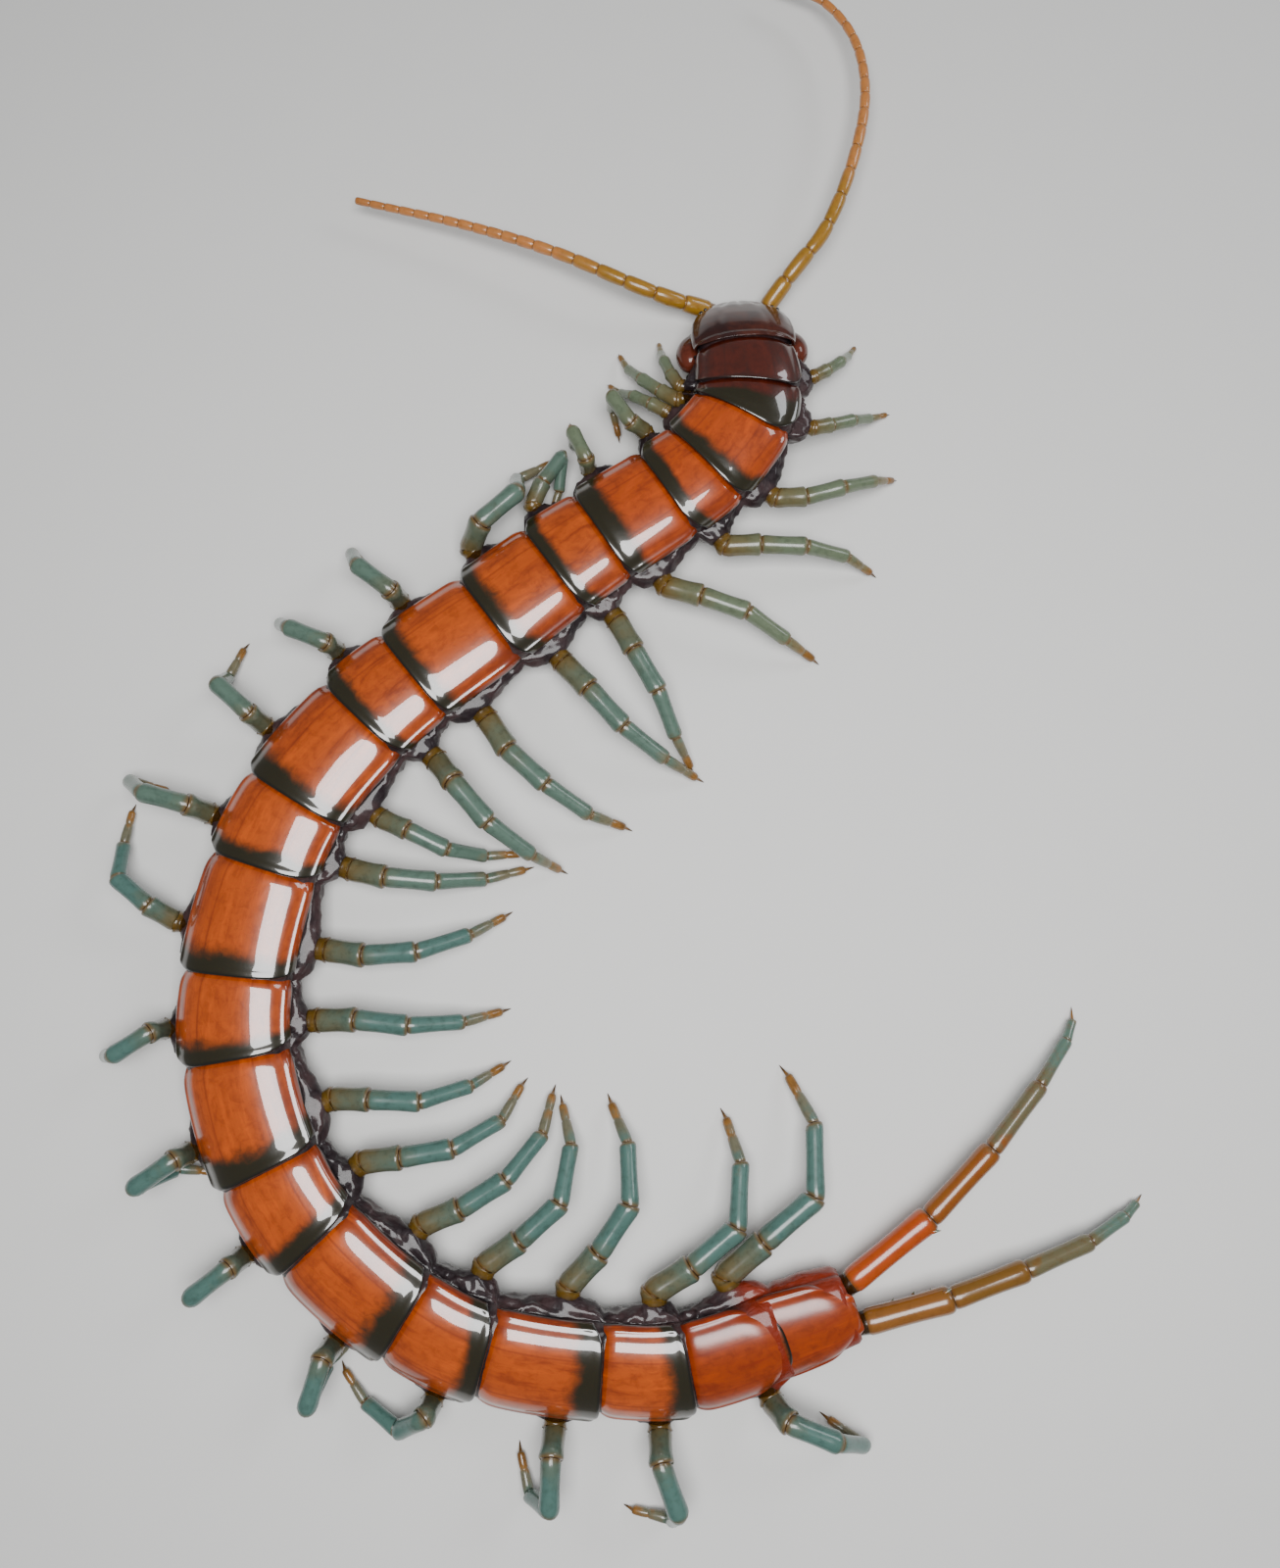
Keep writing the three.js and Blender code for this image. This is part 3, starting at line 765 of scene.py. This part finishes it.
def underhead_spot(around, along):
    """The capsule below the head plate, closed at both ends."""
    share = mix(0.01, 0.99, along)
    half = table(HEAD_HALF, share) * 0.93
    rise = table(HEAD_RISE, share) - 0.25
    end = math.sin(math.pi * along) ** 0.25 if 0 < along < 1 else 0.0
    turn = around * math.tau
    x = math.sin(turn) * half * end
    top = math.cos(turn)
    z = (top * rise * 0.9 if top > 0 else top * 1.3) * end
    return body_spot(0, share, x, z - 0.05)


# What a user would change.


def length_property(name, description, default):
    description += ", in millimetres"
    return bpy.props.FloatProperty(name=name, description=description, default=default, min=0.0)


def colour_property(name, description, default):
    return bpy.props.FloatVectorProperty(
        name=name, description=description, subtype="COLOR", size=3, min=0.0, max=1.0, default=default
    )


class CentipedeSizes(bpy.types.PropertyGroup):
    """Sizes of the plates, skin and eyes."""

    wall: length_property("Plate thickness", "Thickness of a back plate", 0.2)
    overhang: length_property("Overhang", "How far each back plate reaches over the next", 0.35)
    tuck: length_property("Tuck", "How far each back plate starts below the one before", 0.55)
    corner: length_property("Corner", "Rounding of a back plate's rear corners", 1.3)
    rim_height: length_property("Rim height", "Height of the bead round a plate's edge", 0.2)
    groove_depth: length_property("Groove depth", "Depth of the grooves along a plate", 0.07)
    fold_depth: length_property("Fold depth", "Depth of the folds in the side skin", 0.3)
    eye_radius: length_property("Eye radius", "Radius of each of the eight eyes", 0.26)
    spine_length: length_property("Spine length", "Length of the spines of the trailing legs", 0.9)


class CentipedeColours(bpy.types.PropertyGroup):
    """Colours of the shell, skin, legs and feelers."""

    plate: colour_property("Plate", "Warm middle of a back plate", (0.38, 0.058, 0.001))
    # The plate side colour is partly the shell's redder side and partly painted shade.
    plate_side: colour_property("Plate side", "Redder side of a back plate", (0.16, 0.017, 0.001))
    front_plate: colour_property("Front plate", "Middle of back plates 3 to 5", (0.35, 0.048, 0.001))
    tail_plate: colour_property("Tail plate", "Middle of the last two back plates", (0.24, 0.03, 0.0005))
    tail_side: colour_property("Tail side", "Sides of the last two back plates", (0.17, 0.013, 0.0005))
    band: colour_property("Band", "Dark band at the rear of a back plate", (0.013, 0.01, 0.002))
    rim: colour_property("Rim", "Raised rims of the plates", (0.035, 0.015, 0.013))
    neck: colour_property("Neck", "Plates behind the head", (0.06, 0.008, 0.003))
    neck_side: colour_property("Neck side", "Sides of the plates behind the head", (0.03, 0.007, 0.004))
    head: colour_property("Head", "Head plate", (0.026, 0.009, 0.008))
    head_light: colour_property("Head light", "Lighter patches of the head plate", (0.06, 0.016, 0.01))
    fang: colour_property("Fang", "Base of the fangs", (0.06, 0.012, 0.006))
    fang_tip: colour_property("Fang tip", "Tips of the fangs and claws", (0.008, 0.005, 0.004))
    eye: colour_property("Eye", "Eyes", (0.004, 0.004, 0.005))
    skin: colour_property("Skin", "Side skin", (0.012, 0.006, 0.008))
    skin_light: colour_property("Skin light", "Lighter patches of the side skin", (0.04, 0.02, 0.021))
    belly: colour_property("Belly", "Belly plates", (0.1, 0.065, 0.025))
    leg: colour_property("Leg", "Middle of a leg", (0.082, 0.135, 0.105))
    front_leg: colour_property("Front leg", "Middle of a leg near the head", (0.115, 0.145, 0.09))
    rear_leg: colour_property("Rear leg", "Middle of a leg near the tail", (0.062, 0.13, 0.112))
    leg_base: colour_property("Leg base", "Base of a leg", (0.125, 0.066, 0.008))
    foot: colour_property("Foot", "Foot of a leg", (0.22, 0.1, 0.02))
    joint: colour_property("Joint", "Thin rings at the joints", (0.13, 0.05, 0.006))
    trailing_right: colour_property("Trailing right", "Base of the right trailing leg", (0.34, 0.05, 0.003))
    trailing_left: colour_property("Trailing left", "Base of the left trailing leg", (0.2, 0.075, 0.012))
    feeler: colour_property("Feeler", "Feelers", (0.46, 0.175, 0.045))
    feeler_root: colour_property("Feeler root", "Thick first beads of the feelers", (0.28, 0.14, 0.012))
    floor: colour_property("Floor", "Floor", (0.66, 0.655, 0.64))


# One operator for each piece or group of like pieces.


def numbered(stem, i):
    return f"{stem}_{i:02d}"


class CentipedeOperator:
    """What the operators share."""

    bl_options = {"REGISTER", "UNDO"}

    def settings(self, context):
        return context.scene.centipede_sizes, context.scene.centipede_colours


class CENTIPEDE_OT_back_plates(CentipedeOperator, bpy.types.Operator):
    """Makes the 21 overlapping back plates"""

    bl_idname = "centipede.back_plates"
    bl_label = "Back Plates"

    def execute(self, context):
        sizes, colours = self.settings(context)
        side, band, rim = colours.plate_side, colours.band, colours.rim
        neck = plate_finish("neck_plate", colours.neck, colours.neck_side, colours.neck_side, rim, 0.9)
        collar = plate_finish("collar_plate", colours.neck, colours.neck_side, band, rim, 0.5)
        front = plate_finish("front_plate", colours.front_plate, side, band, rim, 0.72)
        middle = plate_finish("back_plate", colours.plate, side, band, rim, 0.76)
        tail, tail_side = colours.tail_plate, colours.tail_side
        rear = plate_finish("rear_plate", tail, tail_side, band, rim, 0.97, 0.955, SATIN)
        last = plate_finish("tail_plate", tail, tail_side, tail_side, rim, 1.2, 1.2, SATIN)
        for i in range(1, SEGMENTS + 1):
            finish = {1: neck, 2: collar, 3: front, 4: front, 5: front, 20: rear, 21: last}.get(i, middle)
            bm = new_mesh()
            rows = 12 if STRETCHES[i][0] < 6 else 20
            woven(bm, 36, rows, lambda across, along: plate_spot(sizes, i, across, along))
            slot = "tail_shell" if i == SEGMENTS else "body_shell"
            thicken(piece(bm, numbered("back_plate", i), finish, slot, closed=False), sizes.wall)
        return {"FINISHED"}


class CENTIPEDE_OT_skin(CentipedeOperator, bpy.types.Operator):
    """Makes the skin of the whole body in one piece"""

    bl_idname = "centipede.skin"
    bl_label = "Skin"

    def execute(self, context):
        sizes, colours = self.settings(context)
        outlines = {}

        def place(around, along):
            if along in (0.0, 1.0):
                return skin_spot(sizes, outlines, 0.0, along) - UP * SKIN_END_DROP
            return skin_spot(sizes, outlines, around, along)

        bm = new_mesh()
        woven(bm, 132, SEGMENTS * 20, place)
        nodes = [numbered("trunk", n) for n in range(1, TRUNK_LENGTHS + 1)]
        piece(bm, "skin", skin_finish(colours), "body_shell", *nodes)
        return {"FINISHED"}


class CENTIPEDE_OT_belly_plates(CentipedeOperator, bpy.types.Operator):
    """Makes the 21 belly plates"""

    bl_idname = "centipede.belly_plates"
    bl_label = "Belly Plates"

    def execute(self, context):
        _, colours = self.settings(context)
        finish = shell_finish("belly_plate", colours.belly, toned(colours.belly, 1.5), 0.35)
        for i in range(1, SEGMENTS + 1):

            def place(across, along):
                s = across * 2 - 1
                share = mix(0.05, 0.97 - 0.12 * s * s, along)
                half = width_at(i, share) / 2 * (0.5 if i < SEGMENTS else mix(0.5, 0.34, along))
                swell = (1 - s**4) * math.sin(math.pi * mix(0.12, 0.88, along)) ** 0.5
                z = BELLY_PLATE_LEVEL - 0.22 * swell + 0.05 * bell(abs(s), 0.45, 0.07)
                return body_spot(i, share, s * half * mix(0.9, 1, math.sin(math.pi * along)), z)

            bm = new_mesh()
            woven(bm, 20, 12, place)
            made = piece(bm, numbered("belly_plate", i), finish, "body_shell")
            thicken(made, BELLY_PLATE_THICKNESS)
        return {"FINISHED"}


# Each eye of one side: share of the head's length, reach to the side, size against the largest.
EYES = ((0.15, 0.96, 0.9), (0.19, 0.9, 0.85), (0.22, 0.985, 1.0), (0.26, 0.93, 1.0))
# Joints of a mouth palp: share of the head's length, distance to the side and height.
PALP_ROUTE = ((0.3, 1.5, -1.5), (0.16, 1.75, -1.7), (0.07, 1.3, -1.75), (0.03, 0.7, -1.7))
PALP_RADII = (0.5, 0.42, 0.32)


class CENTIPEDE_OT_head(CentipedeOperator, bpy.types.Operator):
    """Makes the head plate, the capsule below it, the mouth palps and the eyes"""

    bl_idname = "centipede.head"
    bl_label = "Head"

    def execute(self, context):
        sizes, colours = self.settings(context)
        shell = shell_finish("head_plate", colours.head, colours.head_light, 0.2)
        bm = new_mesh()
        woven(bm, 44, 40, lambda across, along: head_spot(sizes, across, along))
        thicken(piece(bm, "head_plate", shell, "head_shell", "head", closed=False), sizes.wall)
        bm = new_mesh()
        woven(bm, 36, 24, underhead_spot)
        capsule = shell_finish("capsule", colours.head, colours.neck, 0.35)
        piece(bm, "head_capsule", capsule, "head_shell")
        glass = Finish("eye", Roughness=0.06, Coat_Weight=1.0)
        gleam = glass.step(glass.noise(2400.0), 0.4, 0.7)
        glass.link(glass.blend(gleam, colours.eye, toned(colours.eye, 3)), "Base Color")
        for side, word in ((1, "left"), (-1, "right")):
            bm = new_mesh()
            for share, reach, size in EYES:
                half = table(HEAD_HALF, share)
                z = table(HEAD_RISE, share) * (1 - reach**2.4) ** 0.55
                spot = body_spot(0, share, side * reach * half, z) * MM
                radius = sizes.eye_radius * size * MM
                made = bmesh.ops.create_icosphere(bm, subdivisions=3, radius=radius)
                bmesh.ops.translate(bm, verts=made["verts"], vec=spot)
            piece(bm, f"eyes_{word}", glass.material, "head_shell")
            joints = [body_spot(0, share, side * x, z) for share, x, z in PALP_ROUTE]
            run = (joints[1] - joints[0]).normalized()
            bm = new_mesh()
            article_tube(bm, joints, PALP_RADII, [ARTICLE, ARTICLE, CLAW], 12, run)
            finish = shell_finish(f"palp_{word}", colours.fang, colours.leg_base, 0.35)
            piece(bm, f"palp_{word}", finish, "head_shell")
        return {"FINISHED"}


# Rings of a fang from its root to its tip: share of the head's length, distance to the side,
# height and radius. The narrow ones are its joints.
FANG_ROUTE = (
    (0.985, 5.35, -2.3, 0.0), (0.975, 5.4, -2.3, 0.8), (0.93, 5.6, -2.25, 1.2),
    (0.84, 5.85, -2.15, 1.52), (0.72, 5.95, -2.1, 1.62), (0.6, 5.85, -2.1, 1.5),
    (0.5, 5.55, -2.1, 1.28), (0.455, 5.3, -2.1, 1.12), (0.44, 5.2, -2.1, 1.18),
    (0.4, 4.95, -2.1, 1.14), (0.365, 4.75, -2.1, 1.0), (0.35, 4.65, -2.1, 1.06),
    (0.31, 4.3, -2.1, 1.0), (0.285, 4.05, -2.1, 0.86), (0.27, 3.9, -2.1, 0.92),
    (0.22, 3.4, -2.1, 0.82), (0.17, 2.8, -2.12, 0.66), (0.12, 2.1, -2.16, 0.48),
    (0.085, 1.4, -2.2, 0.3), (0.065, 0.8, -2.25, 0.14), (0.06, 0.45, -2.28, 0.0),
)
# Half width and half height of the plate that carries the fangs, by share of the head's length.
FANG_PLATE_START, FANG_PLATE_END = 0.36, 0.97
FANG_PLATE_HALF = ((0.36, 2.4), (0.5, 3.4), (0.75, 3.9), (0.97, 3.9))
FANG_PLATE_DEEP = ((0.36, 0.55), (0.5, 0.85), (0.75, 1.15), (0.97, 1.2))
FANG_PLATE_TOP = -1.5


class CENTIPEDE_OT_fangs(CentipedeOperator, bpy.types.Operator):
    """Makes the plate under the head and its two fangs"""

    bl_idname = "centipede.fangs"
    bl_label = "Fangs"

    def execute(self, context):
        _, colours = self.settings(context)
        finish = shell_finish("fang_base_plate", colours.fang, toned(colours.fang, 1.6), 0.25)

        def place(around, along):
            share = mix(FANG_PLATE_START, FANG_PLATE_END, along)
            deep = table(FANG_PLATE_DEEP, share)
            middle = FANG_PLATE_TOP - deep
            end = 0.0 if along in (0.0, 1.0) else math.sin(math.pi * along) ** 0.2
            turn = around * math.tau
            x = math.copysign(abs(math.sin(turn)) ** 0.7, math.sin(turn))
            x *= table(FANG_PLATE_HALF, share) * end
            z = middle + math.copysign(abs(math.cos(turn)) ** 0.8, math.cos(turn)) * deep * end
            z += 0.16 * bell(x, 0, 0.25) * (1 if z < middle else 0) * end
            return body_spot(0, share, x, z)

        bm = new_mesh()
        woven(bm, 36, 18, place)
        for side in (-1, 1):
            front = body_spot(0, 0.38, side * 0.95, -2.0)
            ahead = (body_spot(0, 0.3, side * 0.9, -2.0) - front).normalized()
            for n in (-1, 0, 1):
                spike(bm, front + ahead.cross(UP) * 0.38 * n, ahead, 0.55, 0.24)
        piece(bm, "fang_base_plate", finish, "head_shell", "fang_plate")
        hook = shell_finish("fang", colours.fang, toned(colours.fang, 1.7), tip=colours.fang_tip)
        for side, word in ((1, "left"), (-1, "right")):
            spots = [body_spot(0, share, side * x, z) for share, x, z, _ in FANG_ROUTE]
            rings = []
            last = len(spots) - 1
            for n, (spot, row) in enumerate(zip(spots, FANG_ROUTE)):
                run = (spots[min(n + 1, last)] - spots[max(n - 1, 0)]).normalized()
                rings.append((spot, row[3], run, n / last))
            bm = new_mesh()
            tube(bm, rings, 28)
            soften(piece(bm, f"fang_{word}", hook, "head_shell", f"fang_{word}"))
        return {"FINISHED"}


class CENTIPEDE_OT_walking_legs(CentipedeOperator, bpy.types.Operator):
    """Makes the 40 walking legs on the middle lines of their solids"""

    bl_idname = "centipede.walking_legs"
    bl_label = "Walking Legs"

    def execute(self, context):
        _, colours = self.settings(context)
        base, foot, ring = colours.leg_base, colours.foot, colours.joint
        front = leg_finish("front_leg", colours.front_leg, base, foot, ring)
        middle = leg_finish("middle_leg", colours.leg, base, foot, ring)
        rear = leg_finish("rear_leg", colours.rear_leg, base, foot, ring)
        for word in ("right", "left"):
            for i in range(1, SEGMENTS):
                node = numbered(f"leg_{word}", i)
                centre, _, left, _ = frame_at(i, LEG_PLACE)
                near = centre + left * (5 if word == "left" else -5)
                joints, radii = leg_joints(node, near, WALKING_STOPS)
                joints = lower_claw(joints)
                run = (joints[1] - joints[0]).normalized()
                bm = new_mesh()
                article_tube(bm, joints, radii, [ARTICLE] * 4 + [FOOT, CLAW], LEG_SIDES, run)
                finish = front if i < 6 else middle if i < 12 else rear
                piece(bm, node.replace("leg", "walking_leg"), finish, "leg", node)
        return {"FINISHED"}


class CENTIPEDE_OT_trailing_legs(CentipedeOperator, bpy.types.Operator):
    """Makes the two long legs that trail from the last segment"""

    bl_idname = "centipede.trailing_legs"
    bl_label = "Trailing Legs"

    def execute(self, context):
        sizes, colours = self.settings(context)
        for word, side in (("right", -1), ("left", 1)):
            node = f"leg_{word}_21"
            first = colours.trailing_right if word == "right" else colours.trailing_left
            centre, along, left, _ = frame_at(SEGMENTS, 1)
            joints, radii = leg_joints(node, centre + left * side * 2, TRAILING_STOPS)
            joints = lower_claw(joints)
            run = (joints[1] - joints[0]).normalized()
            bm = new_mesh()
            article_tube(bm, joints, radii, [ARTICLE] * 5 + [CLAW], 20, run)
            inner = run.cross(UP).normalized() * side
            foot = joints[0].lerp(joints[1], 0.93) - inner * radii[0] * 0.75 + UP * radii[0] * 0.6
            aim = (run * 1.2 - inner * 0.6 + UP * 0.5).normalized()
            spike(bm, foot, aim, sizes.spine_length, 0.3)
            for share, drop in ((0.35, -0.3), (0.6, -0.55), (0.78, -0.2)):
                foot = joints[0].lerp(joints[1], share) - inner * radii[0] * 0.85 + UP * drop * radii[0]
                spike(bm, foot, (run * 0.8 - inner).normalized(), sizes.spine_length * 0.45, 0.18)
            finish = self.trailing_finish(f"trailing_leg_{word}", colours, first)
            piece(bm, f"trailing_leg_{word}", finish, "tail_leg", node)
        return {"FINISHED"}

    def trailing_finish(self, name, colours, first):
        """The root's own colour, then olive and moss, then the cool colour of the other legs."""
        made = Finish(name, Roughness=0.25, Coat_Weight=0.45, Coat_Roughness=0.08)
        made.waxy(0.2, 0.0009, 0.0005, 0.0002)
        olive = blended(colours.leg_base, first, 0.35)
        moss = blended(colours.leg_base, colours.leg, 0.4)
        stops = ((0.0, first), (0.14, first), (0.2, olive), (0.33, olive), (0.37, moss), (0.5, moss))
        stops += ((0.56, colours.leg), (0.8, colours.leg), (0.9, colours.foot))
        stops += ((0.98, toned(colours.foot, 0.3)),)
        along, fine = colour_run(made, stops, 350.0, 0.03, 1100.0)
        made.paint(made.step(fine, 0.45, 0.75, 0.0, 0.35), toned(first, 0.5))
        near = made.near_joint(along, LEG_ARTICLES)
        warm = made.step(near, 0.45, 0.49, 0.0, 0.7)
        made.paint(warm, toned(colours.joint, 0.8))
        made.paint(made.step(near, 0.49, 0.498), toned(colours.joint, 0.2))
        return made.finished(fine, 0.15, 0.02)


class CENTIPEDE_OT_feelers(CentipedeOperator, bpy.types.Operator):
    """Makes the two beaded feelers"""

    bl_idname = "centipede.feelers"
    bl_label = "Feelers"

    def execute(self, context):
        _, colours = self.settings(context)
        finish = feeler_finish(colours)
        for word in ("left", "right"):
            bm = new_mesh()
            feeler_tube(bm, f"antenna_{word}")
            piece(bm, f"feeler_{word}", finish, "feeler", f"antenna_{word}")
        return {"FINISHED"}


# Floor, light and camera.

FLOOR_SIZE = 1500
ROOM_LIGHT = (0.95, 0.97, 1.0, 1)
ROOM_LIGHT_STRENGTH = 0.18
# The camera looks almost straight down. Picture height and focal length are in pixels.
CAMERA_PLACE = (1.74, -22.49, 133.46)
CAMERA_TILT = 6.0
PICTURE_HEIGHT = 1600
FOCAL_LENGTH = 1220
SENSOR_HEIGHT = 24.0


def lamp(name, place, target, size, power, colour=(1, 1, 1)):
    """A soft rectangular light; place, target and size in millimetres, power in watts."""
    light = bpy.data.lights.new(name, "AREA")
    light.shape = "RECTANGLE"
    light.size, light.size_y = size[0] * MM, size[1] * MM
    light.energy = power
    light.color = colour
    made = bpy.data.objects.new(name, light)
    made.location = Vector(place) * MM
    made.rotation_euler = (Vector(target) - Vector(place)).to_track_quat("-Z", "Y").to_euler()
    bpy.context.scene.collection.objects.link(made)


class CENTIPEDE_OT_stage(CentipedeOperator, bpy.types.Operator):
    """Makes the floor, the lights and the camera"""

    bl_idname = "centipede.stage"
    bl_label = "Stage"

    def execute(self, context):
        _, colours = self.settings(context)
        bm = bmesh.new()
        bmesh.ops.create_grid(bm, x_segments=1, y_segments=1, size=FLOOR_SIZE * MM)
        mesh = bpy.data.meshes.new("floor")
        bm.to_mesh(mesh)
        bm.free()
        ground = Finish("floor", Roughness=0.8)
        grain = ground.noise(120.0, 4.0)
        shade = ground.blend(grain, toned(colours.floor, 0.97), colours.floor)
        ground.link(shade, "Base Color")
        mesh.materials.append(ground.material)
        floor = bpy.data.objects.new("floor", mesh)
        context.scene.collection.objects.link(floor)

        world = bpy.data.worlds.new("room")
        world.use_nodes = True
        background = world.node_tree.nodes["Background"]
        background.inputs["Color"].default_value = ROOM_LIGHT
        background.inputs["Strength"].default_value = ROOM_LIGHT_STRENGTH
        context.scene.world = world
        lamp("softbox", (8, -36, 220), (8, -36, 0), (136, 112), 0.75)
        lamp("rim", (330, 200, 260), (0, 0, 0), (200, 120), 0.5, (0.94, 0.97, 1.0))

        camera = bpy.data.cameras.new("camera")
        camera.sensor_fit = "VERTICAL"
        camera.sensor_height = SENSOR_HEIGHT
        camera.lens = SENSOR_HEIGHT * FOCAL_LENGTH / PICTURE_HEIGHT
        camera.clip_start, camera.clip_end = 0.005, 10
        eye = bpy.data.objects.new("camera", camera)
        eye.location = Vector(CAMERA_PLACE) * MM
        eye.rotation_euler = (math.radians(CAMERA_TILT), 0, 0)
        context.scene.collection.objects.link(eye)
        context.scene.camera = eye
        return {"FINISHED"}


OPERATORS = (
    CENTIPEDE_OT_skin,
    CENTIPEDE_OT_back_plates,
    CENTIPEDE_OT_belly_plates,
    CENTIPEDE_OT_head,
    CENTIPEDE_OT_fangs,
    CENTIPEDE_OT_feelers,
    CENTIPEDE_OT_walking_legs,
    CENTIPEDE_OT_trailing_legs,
    CENTIPEDE_OT_stage,
)


class CENTIPEDE_PT_panel(bpy.types.Panel):
    """Lists the sizes, the colours and the steps that make the model"""

    bl_idname = "CENTIPEDE_PT_panel"
    bl_label = "Giant Centipede"
    bl_space_type = "VIEW_3D"
    bl_region_type = "UI"
    bl_category = "Centipede"

    def draw(self, context):
        for group in (context.scene.centipede_sizes, context.scene.centipede_colours):
            box = self.layout.box()
            for name in group.__annotations__:
                box.prop(group, name)
        for operator in OPERATORS:
            self.layout.operator(operator.bl_idname)


CLASSES = (CentipedeSizes, CentipedeColours, *OPERATORS, CENTIPEDE_PT_panel)


def register():
    for cls in CLASSES:
        bpy.utils.register_class(cls)
    bpy.types.Scene.centipede_sizes = bpy.props.PointerProperty(type=CentipedeSizes)
    bpy.types.Scene.centipede_colours = bpy.props.PointerProperty(type=CentipedeColours)


def unregister():
    del bpy.types.Scene.centipede_colours
    del bpy.types.Scene.centipede_sizes
    for cls in reversed(CLASSES):
        bpy.utils.unregister_class(cls)


def main():
    register()
    for operator in OPERATORS:
        group, name = operator.bl_idname.split(".")
        getattr(getattr(bpy.ops, group), name)()
    bpy.context.view_layer.update()


if __name__ == "__main__":
    main()
